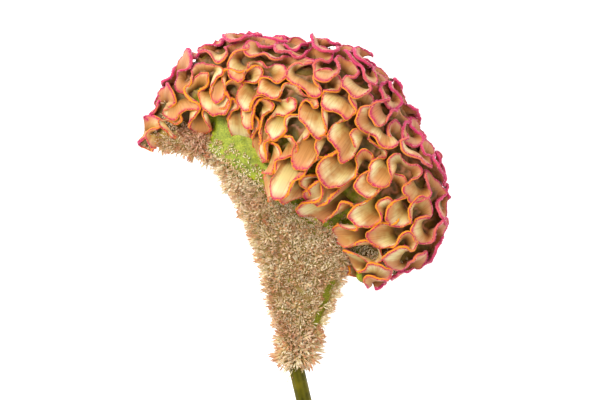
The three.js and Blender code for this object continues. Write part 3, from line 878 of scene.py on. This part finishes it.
def stalk():
    """Ribbed stalk, thicker where a leaf has been taken off, with a dished cut end."""
    shares = np.linspace(0, 1, STEM_ROWS)
    line = stem_line(shares)
    along = unit(np.gradient(line, axis=0))
    across = unit(np.cross([0, 0, 1], along))
    turn = round_angles(STEM_SIDES)
    radius = STEM_RADIUS * (1 + STEM_RIB_HEIGHT * np.cos(STEM_RIBS * turn))[None] * np.ones((STEM_ROWS, 1))
    for place, side in LEAF_SCARS:
        near = np.exp(-(((shares - place) / SCAR_LENGTH_SHARE) ** 2))[:, None]
        facing = np.exp(SCAR_NARROWNESS * (np.cos(turn - side) - 1))[None]
        radius += SCAR_HEIGHT * near * facing + NODE_HEIGHT * near
    rings = tube(line, across, np.cross(along, across), turn, radius)
    ends = [line[-1] + (rings[-1] - line[-1]) * share - along[-1] * depth for share, depth, _ in CUT_RINGS]
    rings = np.concatenate([rings, ends])
    rings[..., 2] = np.maximum(rings[..., 2], 0)
    made = loft("stalk", rings)
    ribs = 0.5 + 0.5 * np.cos(STEM_RIBS * turn + RIB_TONE_TURN)
    store(made, "rib", np.tile(ribs, len(rings)))
    inner = np.concatenate([np.zeros(STEM_ROWS), [pith for *_, pith in CUT_RINGS]])
    store(made, "pith", np.repeat(inner, STEM_SIDES))
    return made


# Nodes


# Sockets of Blender's Random Value and Mix nodes by their number, as several of them share a name.
RANDOM_SOCKETS = {"FLOAT_VECTOR": (0, 1, 0), "FLOAT": (2, 3, 1), "INT": (4, 5, 2)}
SEED_SOCKET = 8
MIX_FACTOR, MIX_A, MIX_B, MIX_RESULT = 0, 6, 7, 2


def add(tree, kind, inputs=None, **settings):
    """A node with its settings, and with each input given a value or linked to a socket."""
    made = tree.nodes.new(kind)
    for key, value in settings.items():
        setattr(made, key, value)
    for key, value in (inputs or {}).items():
        if isinstance(value, bpy.types.NodeSocket):
            tree.links.new(value, made.inputs[key])
        else:
            made.inputs[key].default_value = value
    return made


def new_tree(name, kind, inputs, outputs):
    """An empty node group with its named sockets, given as (name, kind, value) and as (name, kind)."""
    tree = bpy.data.node_groups.new(name, kind)
    for label, socket_kind in outputs:
        tree.interface.new_socket(label, in_out="OUTPUT", socket_type="NodeSocket" + socket_kind)
    for label, socket_kind, value in inputs:
        socket = tree.interface.new_socket(label, in_out="INPUT", socket_type="NodeSocket" + socket_kind)
        if value is not None:
            socket.default_value = value
    return tree, tree.nodes.new("NodeGroupInput").outputs, tree.nodes.new("NodeGroupOutput").inputs


def random_value(tree, kind, low, high, seed):
    """Socket of a random value from low to high, another one at each place."""
    low_socket, high_socket, result = RANDOM_SOCKETS[kind]
    inputs = {low_socket: low, high_socket: high, SEED_SOCKET: seed}
    return add(tree, "FunctionNodeRandomValue", inputs, data_type=kind).outputs[result]


def times(tree, a, b):
    return add(tree, "ShaderNodeMath", {0: a, 1: b}, operation="MULTIPLY").outputs[0]


def add_up(tree, a, b):
    return add(tree, "ShaderNodeMath", {0: a, 1: b}, operation="ADD").outputs[0]


def set_values(node, values):
    """Gives a node's named inputs plain values."""
    for key, value in values.items():
        node.inputs[key].default_value = value


# Florets and rim grains, scattered by Geometry Nodes


def bract(length, width, tilt, turn, bow):
    """One papery bract as a thin keeled blade: points, faces and each point's share from root to tip."""
    corners = []
    for height, share in BRACT_ROWS:
        out, side = bow * height**2, share * width / 2
        corners += [(out, -side, height), (out + BRACT_THICKNESS / length, 0, height), (out, side, height)]
    corners.append((bow, 0, 1.0))
    points = np.array(corners) * (length, 1, length)
    faces = [(0, 1, 2)[::-1]]
    for r in (0, 3):
        faces += [(r + a, r + b, r + b + 3, r + a + 3) for a, b in ((0, 1), (1, 2), (2, 0))]
    faces += [(6, 7, 9), (7, 8, 9), (8, 6, 9)]
    lean = np.array([[math.cos(tilt), 0, math.sin(tilt)], [0, 1, 0], [-math.sin(tilt), 0, math.cos(tilt)]])
    spin = np.array([[math.cos(turn), -math.sin(turn), 0], [math.sin(turn), math.cos(turn), 0], [0, 0, 1]])
    points = points @ lean.T
    points[:, 0] += BRACT_ROOT_GAP
    return points @ spin.T, faces, np.append(np.repeat(BRACT_ROWS[:, 0], 3), 1.0)


def part_object(name, verts, faces, tips):
    """An unlinked object for scattering, its verts in millimetres, with the share from root to tip."""
    mesh = bpy.data.meshes.new(name)
    mesh.from_pydata((np.asarray(verts) * MM).tolist(), [], faces)
    made = bpy.data.objects.new(name, mesh)
    store(made, "tip", tips)
    return made


def floret(tilt, bow, length, seed):
    """A small flower of bracts in a ring, its root at the origin and pointing along +Z."""
    random = np.random.default_rng(seed)
    verts, faces, tips = [], [], []
    for i in range(BRACTS):
        turn = 2 * math.pi * (i + random.uniform(*BRACT_TURNS)) / BRACTS
        size = length * random.uniform(*BRACT_SIZES)
        points, blade, tip = bract(size, BRACT_WIDTH, tilt * DEG, turn, bow * random.uniform(*BRACT_BOWS))
        faces += [tuple(len(verts) + k for k in face) for face in blade]
        verts += points.tolist()
        tips += tip.tolist()
    return part_object("floret", verts, faces, tips)


def strand(curl, seed):
    """A thin tapering thread that starts along +Z and curls over sideways."""
    random = np.random.default_rng(seed)
    share = np.linspace(0, 1, STRAND_ROWS)
    angle = curl * DEG * share**STRAND_CURL_GROWTH
    step = STRAND_LENGTH / (STRAND_ROWS - 1)
    x = np.cumsum(np.sin(angle)) * step
    z = np.cumsum(np.cos(angle)) * step
    y = STRAND_SWAY * np.sin(STRAND_SWAY_TURN * share + random.uniform(0, 6)) * share
    line = np.stack([x, y, z], -1) - [x[0], y[0], z[0]]
    along = unit(np.gradient(line, axis=0))
    side = unit(np.cross(along, np.broadcast_to([0.0, 1.0, 0.0], along.shape)))
    radius = STRAND_RADIUS * (1 - STRAND_TAPER * share)[:, None]
    rings = tube(line, side, np.cross(side, along), -round_angles(STRAND_SIDES), radius)
    faces = ring_faces(STRAND_ROWS, STRAND_SIDES)
    tips = np.repeat(STRAND_TIP_FROM + STRAND_TIP_RISE * share, STRAND_SIDES)
    return part_object("strand", rings.reshape(-1, 3), faces, tips)


def stored(tree, name, kind="FLOAT"):
    """Socket of a value stored on the points, in a tree that makes shapes."""
    return add(tree, "GeometryNodeInputNamedAttribute", {"Name": name}, data_type=kind).outputs[0]


def finish_tree(tree, instances, given, result, seed):
    """The tree's end: a tone for each instance, then all of them as plain mesh with their material."""
    inputs = {"Geometry": instances, "Name": "tone", "Value": random_value(tree, "FLOAT", 0.0, 1.0, seed)}
    toned = add(tree, "GeometryNodeStoreNamedAttribute", inputs, data_type="FLOAT", domain="INSTANCE")
    real = add(tree, "GeometryNodeRealizeInstances", {"Geometry": toned.outputs[0]})
    inputs = {"Geometry": real.outputs[0], "Material": given["Material"]}
    finished = add(tree, "GeometryNodeSetMaterial", inputs)
    tree.links.new(finished.outputs[0], result["Geometry"])
    return tree


def scatter_tree():
    """Florets of three forms on a surface, as thick, as large and leaning as its stored values say."""
    tree, given, result = new_tree(
        "scatter_florets",
        "GeometryNodeTree",
        [
            ("Geometry", "Geometry", None),
            ("Spacing", "Float", 0.0015),
            ("Smallest", "Float", 0.75),
            ("Largest", "Float", 1.2),
            ("Untidiness", "Float", 0.35),
            ("Seed", "Int", 1),
            ("Open Floret", "Object", None),
            ("Half Open Floret", "Object", None),
            ("Closed Floret", "Object", None),
            ("Material", "Material", None),
        ],
        [("Geometry", "Geometry")],
    )
    inputs = {
        "Mesh": given["Geometry"],
        "Distance Min": given["Spacing"],
        "Density Max": MOST_PER_SQUARE_METRE,
        "Density Factor": stored(tree, "cover"),
        "Seed": given["Seed"],
    }
    places = add(tree, "GeometryNodeDistributePointsOnFaces", inputs, distribute_method="POISSON")
    inputs = {0: places.outputs["Normal"], 1: stored(tree, "lean", "FLOAT_VECTOR")}
    leaning = add(tree, "ShaderNodeVectorMath", inputs, operation="ADD")
    jitter = random_value(tree, "FLOAT_VECTOR", (-1.0, -1.0, -1.0), (1.0, 1.0, 1.0), seed=11)
    strayed = add(tree, "ShaderNodeVectorMath", {0: jitter, "Scale": given["Untidiness"]}, operation="SCALE")
    inputs = {0: leaning.outputs[0], 1: strayed.outputs[0]}
    aim = add(tree, "ShaderNodeVectorMath", inputs, operation="ADD")
    turned = add(tree, "FunctionNodeAlignRotationToVector", {"Vector": aim.outputs[0]}, axis="Z")
    forms = tree.nodes.new("GeometryNodeJoinGeometry")
    for label in FORMS:
        form = add(tree, "GeometryNodeObjectInfo", {"Object": given[label], "As Instance": True})
        tree.links.new(form.outputs["Geometry"], forms.inputs[0])
    size = random_value(tree, "FLOAT", given["Smallest"], given["Largest"], seed=13)
    inputs = {
        "Points": places.outputs["Points"],
        "Instance": forms.outputs[0],
        "Pick Instance": True,
        "Instance Index": random_value(tree, "INT", 0, 2, seed=12),
        "Rotation": turned.outputs[0],
        "Scale": times(tree, size, stored(tree, "size")),
    }
    planted = add(tree, "GeometryNodeInstanceOnPoints", inputs)
    spin = random_value(tree, "FLOAT", 0.0, 2 * math.pi, seed=14)
    spin = add(tree, "ShaderNodeCombineXYZ", {"Z": spin})
    inputs = {"Instances": planted.outputs[0], "Rotation": spin.outputs[0], "Local Space": True}
    spun = add(tree, "GeometryNodeRotateInstances", inputs)
    return finish_tree(tree, spun.outputs[0], given, result, seed=15)


def grain_tree():
    """Small blunt cells in a row along a wire, each with a size and turn of its own."""
    tree, given, result = new_tree(
        "rim_grains",
        "GeometryNodeTree",
        [
            ("Geometry", "Geometry", None),
            ("Spacing", "Float", 0.001),
            ("Smallest", "Float", 0.5),
            ("Largest", "Float", 1.6),
            ("Cell", "Object", None),
            ("Material", "Material", None),
        ],
        [("Geometry", "Geometry")],
    )
    curve = add(tree, "GeometryNodeMeshToCurve", {"Mesh": given["Geometry"]})
    inputs = {"Curve": curve.outputs[0], "Length": given["Spacing"]}
    places = add(tree, "GeometryNodeResampleCurve", inputs, mode="LENGTH")
    cell = add(tree, "GeometryNodeObjectInfo", {"Object": given["Cell"], "As Instance": True})
    whole = 2 * math.pi
    inputs = {
        "Points": places.outputs[0],
        "Instance": cell.outputs["Geometry"],
        "Rotation": random_value(tree, "FLOAT_VECTOR", (0.0, 0.0, 0.0), (whole, whole, whole), seed=21),
        "Scale": random_value(tree, "FLOAT", given["Smallest"], given["Largest"], seed=22),
    }
    planted = add(tree, "GeometryNodeInstanceOnPoints", inputs)
    return finish_tree(tree, planted.outputs[0], given, result, seed=23)


def run_tree(made, tree, inputs):
    """The object made plain with what a tree makes of it, given values for the tree's named inputs."""
    modifier = made.modifiers.new("growth", "NODES")
    modifier.node_group = tree
    for item in tree.interface.items_tree:
        if item.in_out == "INPUT" and item.name in inputs:
            modifier[item.identifier] = inputs[item.name]
    return evaluated(made)


def rim_grains(name, rim, side, tree, inputs):
    """A row of grains along one edge of the rim, as a plain object."""
    centres, normals, outward = rim
    line = centres + normals * (side * GRAIN_FROM_MIDDLE)
    line[:, 2] = np.maximum(line[:, 2], GRAIN_CLEARANCE)
    wire = [(i, i + 1) for i in range(len(line) - 1)]
    return run_tree(new_object(name, line, [], wire, outward=outward), tree, inputs)


def grain_cell():
    """One blunt cell: a flattened octahedron of a few faces."""
    corners = [(1, 0, 0), (0, 0.8, 0), (-1, 0, 0), (0, -0.8, 0), (0, 0, 0.7), (0, 0, -0.7)]
    faces = [(0, 1, 4), (1, 2, 4), (2, 3, 4), (3, 0, 4), (1, 0, 5), (2, 1, 5), (3, 2, 5), (0, 3, 5)]
    return part_object("grain_cell", np.array(corners) * GRAIN_SIZE, faces, np.ones(6))


# Materials


# Colours along a ramp: rows of a position and an 8-bit display colour.
# The frill's wall ramps run from foot to rim. Their dark olive foot is partly the tissue's own colour and
# partly painted shade in the throats between the lobes.
TAN_WALL = [
    (0.0, 84, 66, 10),
    (0.2, 112, 84, 18),
    (0.4, 148, 104, 36),
    (0.56, 182, 122, 50),
    (0.72, 214, 150, 80),
    (0.82, 226, 158, 96),
    (0.88, 228, 134, 92),
]
CREAM_WALL = [
    (0.0, 98, 88, 12),
    (0.2, 134, 112, 26),
    (0.42, 182, 152, 66),
    (0.64, 228, 202, 126),
    (0.8, 248, 228, 170),
    (0.88, 242, 172, 134),
]
ROSY_WALL = [
    (0.0, 104, 62, 22),
    (0.3, 156, 88, 46),
    (0.6, 192, 124, 68),
    (0.8, 210, 130, 86),
    (0.88, 206, 84, 92),
]
INNER_GRAINS = [(0.0, 206, 40, 92), (0.4, 226, 76, 76), (0.7, 250, 152, 40)]
OUTER_GRAINS = [(0.0, 196, 36, 104), (0.5, 222, 70, 126), (0.9, 240, 150, 160)]
BRIGHT_FLESH = [(0.36, 104, 112, 6), (0.5, 152, 168, 14), (0.64, 194, 200, 48)]
# Olive brown of the flesh under the frill: partly its own colour, partly painted shade.
DEEP_SHADED_FLESH = [(0.3, 84, 66, 12), (0.7, 134, 104, 30)]
RIPE_BED = [(0.3, 168, 128, 76), (0.5, 196, 158, 104), (0.7, 184, 176, 96)]
GREEN_BED = [(0.35, 104, 100, 8), (0.65, 158, 164, 28)]
PALE_BRACT = [(0.0, 200, 180, 98), (0.4, 244, 226, 174), (0.8, 252, 234, 198), (1.0, 204, 142, 110)]
WARM_BRACT = [(0.0, 190, 164, 88), (0.45, 242, 214, 154), (0.7, 222, 162, 112), (1.0, 166, 92, 60)]
STALK_SKIN = [(0.3, 58, 56, 2), (0.5, 90, 84, 6), (0.7, 124, 110, 18)]

# Depth of the surface grain, in metres.
BUMP_DEPTH = 0.0004


def srgb(red, green, blue):
    """Linear colour of an 8-bit display colour, with full alpha."""
    shares = np.array([red, green, blue]) / 255
    linear = np.where(shares <= 0.04045, shares / 12.92, ((shares + 0.055) / 1.055) ** 2.4)
    return (*linear.tolist(), 1.0)


def point_value(tree, name):
    """Socket of a named value on the points."""
    return add(tree, "ShaderNodeAttribute", attribute_name=name).outputs["Fac"]


def ramp(tree, factor, rows):
    """Colour along a factor, from rows of a position and a display colour."""
    made = add(tree, "ShaderNodeValToRGB", {"Fac": factor})
    elements = made.color_ramp.elements
    while len(elements) < len(rows):
        elements.new(1)
    for element, (position, *colour) in zip(elements, rows):
        element.position = position
        element.color = srgb(*colour)
    return made.outputs["Color"]


def step_between(tree, value, low, high):
    """A smooth step from 0 at low to 1 at high."""
    inputs = {"Value": value, "From Min": low, "From Max": high}
    made = add(tree, "ShaderNodeMapRange", inputs, interpolation_type="SMOOTHSTEP")
    return made.outputs["Result"]


def mixed(tree, factor, a, b, blend="MIX"):
    """Two colours mixed by a factor."""
    inputs = {MIX_FACTOR: factor, MIX_A: a, MIX_B: b}
    made = add(tree, "ShaderNodeMix", inputs, data_type="RGBA", blend_type=blend)
    return made.outputs[MIX_RESULT]


def grain_group():
    """Fine living-tissue grain: patches of tone and a bump height, both noise on the object's own place."""
    scales = {"Patches": "Patch Scale", "Grain": "Grain Scale"}
    group, given, result = new_tree(
        "living_grain",
        "ShaderNodeTree",
        [("Patch Scale", "Float", 120.0), ("Grain Scale", "Float", 1500.0), ("Roughness", "Float", 0.6)],
        [(label, "Float") for label in scales],
    )
    place = add(group, "ShaderNodeTexCoord").outputs["Object"]
    for label, scale in scales.items():
        inputs = {"Vector": place, "Scale": given[scale], "Roughness": given["Roughness"], "Detail": 3.0}
        pattern = add(group, "ShaderNodeTexNoise", inputs)
        group.links.new(pattern.outputs["Fac"], result[label])
    return group


GRAIN = grain_group()


def grain(tree, patch_scale, grain_scale):
    """Sockets of the tissue grain placed in a material: its patches and its fine grain."""
    inputs = {"Patch Scale": patch_scale, "Grain Scale": grain_scale}
    made = add(tree, "ShaderNodeGroup", inputs, node_tree=GRAIN)
    return made.outputs["Patches"], made.outputs["Grain"]


def new_material(name):
    """A material with its Principled shader, which the caller feeds."""
    material = bpy.data.materials.new(name)
    material.use_nodes = True
    tree = material.node_tree
    return material, tree, tree.nodes["Principled BSDF"]


def set_shader(tree, shader, colour, height, bump, values):
    """Links a colour and a bump height of some strength, and sets the shader's plain values."""
    tree.links.new(colour, shader.inputs["Base Color"])
    inputs = {"Height": height, "Strength": bump, "Distance": BUMP_DEPTH}
    tree.links.new(add(tree, "ShaderNodeBump", inputs).outputs["Normal"], shader.inputs["Normal"])
    set_values(shader, values)


def translucence(weight, radius):
    """Shader values for light that spreads inside the tissue, over a radius in metres for each colour."""
    return {"Subsurface Weight": weight, "Subsurface Radius": radius, "Subsurface Scale": 1.0}


def noise_along(tree, per_mm, per_rise):
    """Noise over the ribbon's own lengths: so many waves to a millimetre, and so many from foot to rim."""
    x = times(tree, point_value(tree, "along"), per_mm)
    y = times(tree, point_value(tree, "rise"), per_rise)
    place = add(tree, "ShaderNodeCombineXYZ", {"X": x, "Y": y}).outputs[0]
    return add(tree, "ShaderNodeTexNoise", {"Vector": place, "Scale": 1.0, "Detail": 2.0}).outputs["Fac"]


def frill_material():
    """Velvety frill: olive foot deepened with painted shade, tan, cream and rosy walls with painted shade in
    their hollows and some painted highlight among the cream patches, magenta fringe, and an orange or
    magenta rim.
    """
    material, tree, shader = new_material("frill_velvet")
    rise = times(tree, point_value(tree, "rise"), 0.9)
    outward = point_value(tree, "outward")
    bulge = point_value(tree, "bulge")
    patches, fine = grain(tree, 90.0, 1400.0)
    tone = noise_along(tree, 0.07, 0.0)
    # Noise picks pale cream patches on the walls. They are partly the frill's own cream tone and partly
    # painted highlight on lobes that seem lit.
    pale = add_up(tree, patches, times(tree, add_up(tree, tone, -0.5), 1.1))
    tan, cream = ramp(tree, rise, TAN_WALL), ramp(tree, rise, CREAM_WALL)
    wall = mixed(tree, step_between(tree, pale, 0.4, 0.66), tan, cream)
    outside = times(tree, step_between(tree, bulge, 0.0, 0.9), step_between(tree, rise, 0.4, 0.8))
    blush = step_between(tree, add_up(tree, times(tree, outward, 0.7), patches), 0.55, 1.5)
    blush = add_up(tree, blush, times(tree, outside, 0.6))
    blush = add_up(tree, blush, times(tree, step_between(tree, tone, 0.5, 0.3), 0.35))
    wall = mixed(tree, step_between(tree, blush, 0.0, 1.0), wall, ramp(tree, rise, ROSY_WALL))
    # Painted shade: the concave inner side of each lobe is multiplied towards brown, more strongly the lower
    # it lies, where shade falls in the hollow.
    inside = times(tree, step_between(tree, bulge, 0.1, -0.8), step_between(tree, rise, 0.95, 0.5))
    wall = mixed(tree, times(tree, inside, 0.6), wall, srgb(190, 142, 62), "MULTIPLY")
    veins = noise_along(tree, 1.3, 1.8)
    streaks = times(tree, step_between(tree, veins, 0.45, 0.7), 0.3)
    wall = mixed(tree, streaks, wall, srgb(188, 132, 84), "MULTIPLY")
    frayed = add_up(tree, rise, times(tree, add_up(tree, fine, -0.5), 0.1))
    fringe = step_between(tree, frayed, 0.85, 0.9)
    edge = mixed(tree, fringe, wall, srgb(208, 40, 96))
    top = step_between(tree, add_up(tree, frayed, times(tree, bulge, -0.03)), 0.935, 0.965)
    flame = mixed(tree, step_between(tree, outward, 0.4, 0.9), srgb(253, 162, 24), srgb(220, 62, 112))
    gloss = {"Roughness": 0.55, "Specular IOR Level": 0.3, "Sheen Weight": 0.1}
    soft = translucence(0.15, (0.0014, 0.0008, 0.0004))
    set_shader(tree, shader, mixed(tree, top, edge, flame), fine, 0.25, gloss | soft)
    return material


def grain_material():
    """Sparkling little rim cells in magenta and red, some of them orange."""
    material, tree, shader = new_material("rim_grains")
    tone = point_value(tree, "tone")
    outer = step_between(tree, point_value(tree, "outward"), 0.2, 0.8)
    colour = mixed(tree, outer, ramp(tree, tone, INNER_GRAINS), ramp(tree, tone, OUTER_GRAINS))
    _, fine = grain(tree, 200.0, 2500.0)
    set_shader(tree, shader, colour, fine, 0.2, {"Roughness": 0.45})
    return material


def flesh_material():
    """Bumpy lime-green flesh near the fan, darkening to olive brown between the frill's roots, partly its
    own colour and partly painted shade.
    """
    material, tree, shader = new_material("green_flesh")
    patches, fine = grain(tree, 260.0, 1500.0)
    speckle = add_up(tree, times(tree, patches, 0.5), times(tree, fine, 0.5))
    # The deep ramp darkens the flesh further past the chord, where it lies under the frill. This is partly
    # the flesh's own olive colour and partly painted shade.
    bright, deep_shaded = ramp(tree, speckle, BRIGHT_FLESH), ramp(tree, patches, DEEP_SHADED_FLESH)
    colour = mixed(tree, step_between(tree, point_value(tree, "beyond"), 14.0, 30.0), bright, deep_shaded)
    colour = mixed(tree, times(tree, point_value(tree, "fold"), 0.75), colour, srgb(188, 112, 74))
    soft = translucence(0.15, (0.0006, 0.001, 0.0002))
    set_shader(tree, shader, colour, fine, 0.5, {"Roughness": 0.55} | soft)
    return material


def bed_material():
    """Mottled skin between the florets, which turns green towards the crest."""
    material, tree, shader = new_material("floret_bed")
    patches, fine = grain(tree, 350.0, 1800.0)
    ripe = add_up(tree, point_value(tree, "beyond"), times(tree, patches, 6.0))
    greening = step_between(tree, ripe, -5.0, 2.0)
    colour = mixed(tree, greening, ramp(tree, patches, RIPE_BED), ramp(tree, fine, GREEN_BED))
    set_shader(tree, shader, colour, fine, 0.6, {"Roughness": 0.85})
    return material


def floret_material():
    """Papery bracts: greenish cream at the root, cream along the blade and brown-pink at the tip."""
    material, tree, shader = new_material("floret_paper")
    tip = point_value(tree, "tip")
    warmth = step_between(tree, point_value(tree, "tone"), 0.35, 0.95)
    colour = mixed(tree, warmth, ramp(tree, tip, PALE_BRACT), ramp(tree, tip, WARM_BRACT))
    patches, fine = grain(tree, 60.0, 2500.0)
    rosy = add_up(tree, times(tree, step_between(tree, patches, 0.5, 0.7), 0.35), point_value(tree, "pink"))
    colour = mixed(tree, rosy, colour, srgb(228, 172, 164), "MULTIPLY")
    soft = translucence(0.2, (0.0008, 0.0006, 0.0004))
    set_shader(tree, shader, colour, fine, 0.2, {"Roughness": 0.6, "Sheen Weight": 0.1} | soft)
    return material


def stalk_material():
    """Satin olive stalk with paler ribs, and a pale moist pith at the cut."""
    material, tree, shader = new_material("stalk_green")
    patches, fine = grain(tree, 140.0, 1600.0)
    skin = ramp(tree, patches, STALK_SKIN)
    skin = mixed(tree, times(tree, point_value(tree, "rib"), 0.35), skin, srgb(124, 116, 14))
    pith = step_between(tree, point_value(tree, "pith"), 0.3, 0.9)
    colour = mixed(tree, pith, skin, srgb(206, 210, 150))
    set_shader(tree, shader, colour, fine, 0.25, {"Roughness": 0.6, "Specular IOR Level": 0.15})
    return material


# Stage, light and camera


WHITE = (1, 1, 1, 1)
FLOOR_HALF_METRES = 3.0
FLOOR_LOOK = {
    "Base Color": (0.8, 0.8, 0.8, 1),
    "Roughness": 0.9,
    "Emission Color": WHITE,
    "Emission Strength": 0.8,
}
SKY = {"Color": WHITE, "Strength": 0.55}

# Each lamp's name, place and width in metres, and power in watts, and the point they all shine on.
LAMPS = [("key", (-0.55, 0.45, 0.75), 0.5, 8.0), ("fill", (0.6, -0.1, 0.7), 0.9, 2.0)]
LIT_POINT = Vector((0, 0.04, 0.03))


def make_stage():
    """A plain white floor, an even white sky and two soft lamps, the stronger one at the upper left."""
    floor = bpy.data.meshes.new("floor")
    corners = FLOOR_HALF_METRES * np.array([(-1, -1, 0), (1, -1, 0), (1, 1, 0), (-1, 1, 0)])
    floor.from_pydata(corners.tolist(), [], [(0, 1, 2, 3)])
    material, _, shader = new_material("white_floor")
    set_values(shader, FLOOR_LOOK)
    floor.materials.append(material)
    linked(bpy.data.objects.new("floor", floor))

    world = bpy.data.worlds.new("studio")
    world.use_nodes = True
    set_values(world.node_tree.nodes["Background"], SKY)
    bpy.context.scene.world = world

    for name, place, width, power in LAMPS:
        light = bpy.data.lights.new(name, "AREA")
        light.shape = "DISK"
        light.size = width
        light.energy = power
        lamp = linked(bpy.data.objects.new(name, light))
        lamp.location = place
        lamp.rotation_euler = (LIT_POINT - lamp.location).to_track_quat("-Z", "Y").to_euler()
    bpy.context.scene.view_settings.view_transform = "Standard"


# The middle of the view in millimetres from the neck, and the camera's distance in metres.
VIEW_CENTRE = (1.8, 75.6)
VIEW_DISTANCE = 0.75
LENS = 100
SENSOR_WIDTH = 36


def make_camera():
    """A camera that looks straight down on the lying flower."""
    camera = bpy.data.cameras.new("camera")
    camera.lens = LENS
    camera.sensor_width = SENSOR_WIDTH
    x, y, z = in_frame((*VIEW_CENTRE, MID_HEIGHT))
    holder = linked(bpy.data.objects.new("camera", camera))
    holder.location = (x, y, z + VIEW_DISTANCE)
    bpy.context.scene.camera = holder


# Pieces


def finish_piece(piece, node, material=None):
    """Gives a piece its body and, when one is given, its material, and hides the imported part that it
    stands for.
    """
    if material is not None:
        piece.data.materials.clear()
        piece.data.materials.append(material)
    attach(piece, BODY)
    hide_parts(node)


def make_frill():
    """The frill's ribbon, and the grains along both edges of its rim."""
    foot = foot_line()
    ribbons, rim = frill_pieces(foot, rim_line(foot))
    velvet = frill_material()
    for ribbon in ribbons:
        finish_piece(ribbon, "crest_frill", velvet)
    tree = grain_tree()
    inputs = {**GRAINS, "Cell": grain_cell(), "Material": grain_material()}
    for name, side in (("left_rim_grains", 1), ("right_rim_grains", -1)):
        finish_piece(rim_grains(name, rim, side, tree, inputs), "crest_frill")


def three_forms(make, rows):
    """The forms that the scatter tree picks from, each made from its row of values."""
    return {label: make(*row) for label, row in zip(FORMS, rows)}


def plant(ground, name, tree, inputs, cover, lean, size):
    """What the tree scatters over a ground, as a finished piece.

    Cover, lean and size say for each of the ground's points how thickly things grow there, which way
    they lean and how large they are.
    """
    made = linked(bpy.data.objects.new(name, ground.data.copy()))
    for key, values in (("cover", cover), ("lean", lean), ("size", size)):
        store(made, key, values)
    finish_piece(run_tree(made, tree, inputs), "floret_cone")


def make_carpet(bed, tree, paper):
    """Florets all over the bed in an upper and a lower piece, longer and leaning out near the neck."""
    points, normals = points_of(bed)
    y = points[:, 1]
    beyond = from_chord(points)
    on_pad = smooth_step(PAD_FROM, PAD_TO, points[:, 0]) * smooth_step(*PAD_EDGE, beyond)
    near_neck = smooth_step(NECK_TUFT_HEIGHT, 0, y)
    edge = beyond + CARPET_EDGE_WANDER * bumps(points, *CARPET_EDGE_WAVES)
    cover = np.maximum(smooth_step(*CARPET_EDGE, edge) ** 0.5, on_pad)
    cover *= smooth_step(*NECK_EDGE, y) * (1 - BARE_SHARE * bare_streak(points))
    lean = CARPET_LEAN * unit(points - FAN_ROOT) * (1 - on_pad - near_neck)[:, None]
    lean += DOWN * (PAD_DROOP * on_pad + NECK_DROOP * near_neck)[:, None]
    size = 1 + CARPET_SIZE_VARIATION * bumps(points, *CARPET_SIZE_WAVES)
    size += SIDE_TUFT_SIZE * (1 - np.abs(normals[:, 2]))
    size *= 1 + NECK_TUFT_SIZE * near_neck * smooth_step(*NECK_TUFT_RISE, y)
    store(bed, "pink", PAD_PINK * on_pad)
    forms = three_forms(floret, RIPE_FORMS)
    for name, side in (("upper_florets", 1), ("lower_florets", -1)):
        facing = smooth_step(-0.5, 0.5, side * (points[:, 2] - MID_HEIGHT))
        inputs = {**CARPET, "Seed": 2 + side, "Material": paper, **forms}
        plant(bed, name, tree, inputs, cover * facing, lean, size)


def make_strands(bed, tree, paper):
    """Curled strands that hang out of the lowest florets."""
    points, _ = points_of(bed)
    low, high = STRAND_BAND
    y = points[:, 1]
    in_band = smooth_step(low - STRAND_BAND_EDGE, low, y) * smooth_step(high, high - STRAND_BAND_EDGE, y)
    outward = np.sign(points[:, :1]) * np.array([1.0, 0, 0])
    lean = STRAND_DROOP * DOWN + STRAND_SPREAD * outward
    inputs = {**STRANDS, "Material": paper, **three_forms(strand, STRAND_CURLS)}
    plant(bed, "neck_strands", tree, inputs, in_band, lean, np.ones(len(points)))


def make_young_florets(grounds, tree, paper):
    """Small pale florets scattered along the border of the green flesh, on each of the grounds."""
    inputs = {**YOUNG, "Material": paper, **three_forms(floret, YOUNG_FORMS)}
    for ground, (name, nearest) in zip(grounds, YOUNG_PIECES):
        points, _ = points_of(ground)
        beyond = from_chord(points)
        cover = smooth_step(YOUNG_REACH, 0, beyond + YOUNG_EDGE_WANDER * bumps(points, *YOUNG_WAVES))
        cover *= smooth_step(nearest - YOUNG_EDGE, nearest, beyond)
        cover *= smooth_step(*YOUNG_ABOVE_MIDDLE, points[:, 2] - MID_HEIGHT)
        lean = YOUNG_LEAN * unit(points - FAN_ROOT)
        plant(ground, name, tree, inputs, cover, lean, np.ones(len(points)))


make_stage()
make_camera()
make_frill()

flesh = green_flesh()
finish_piece(flesh, "green_core", flesh_material())
bed = floret_bed()
finish_piece(bed, "floret_cone", bed_material())

floret_paper = floret_material()
scatter = scatter_tree()
make_carpet(bed, scatter, floret_paper)
make_strands(bed, scatter, floret_paper)
make_young_florets([flesh, bed], scatter, floret_paper)

stem = stalk()
finish_piece(stem, "stem", stalk_material())
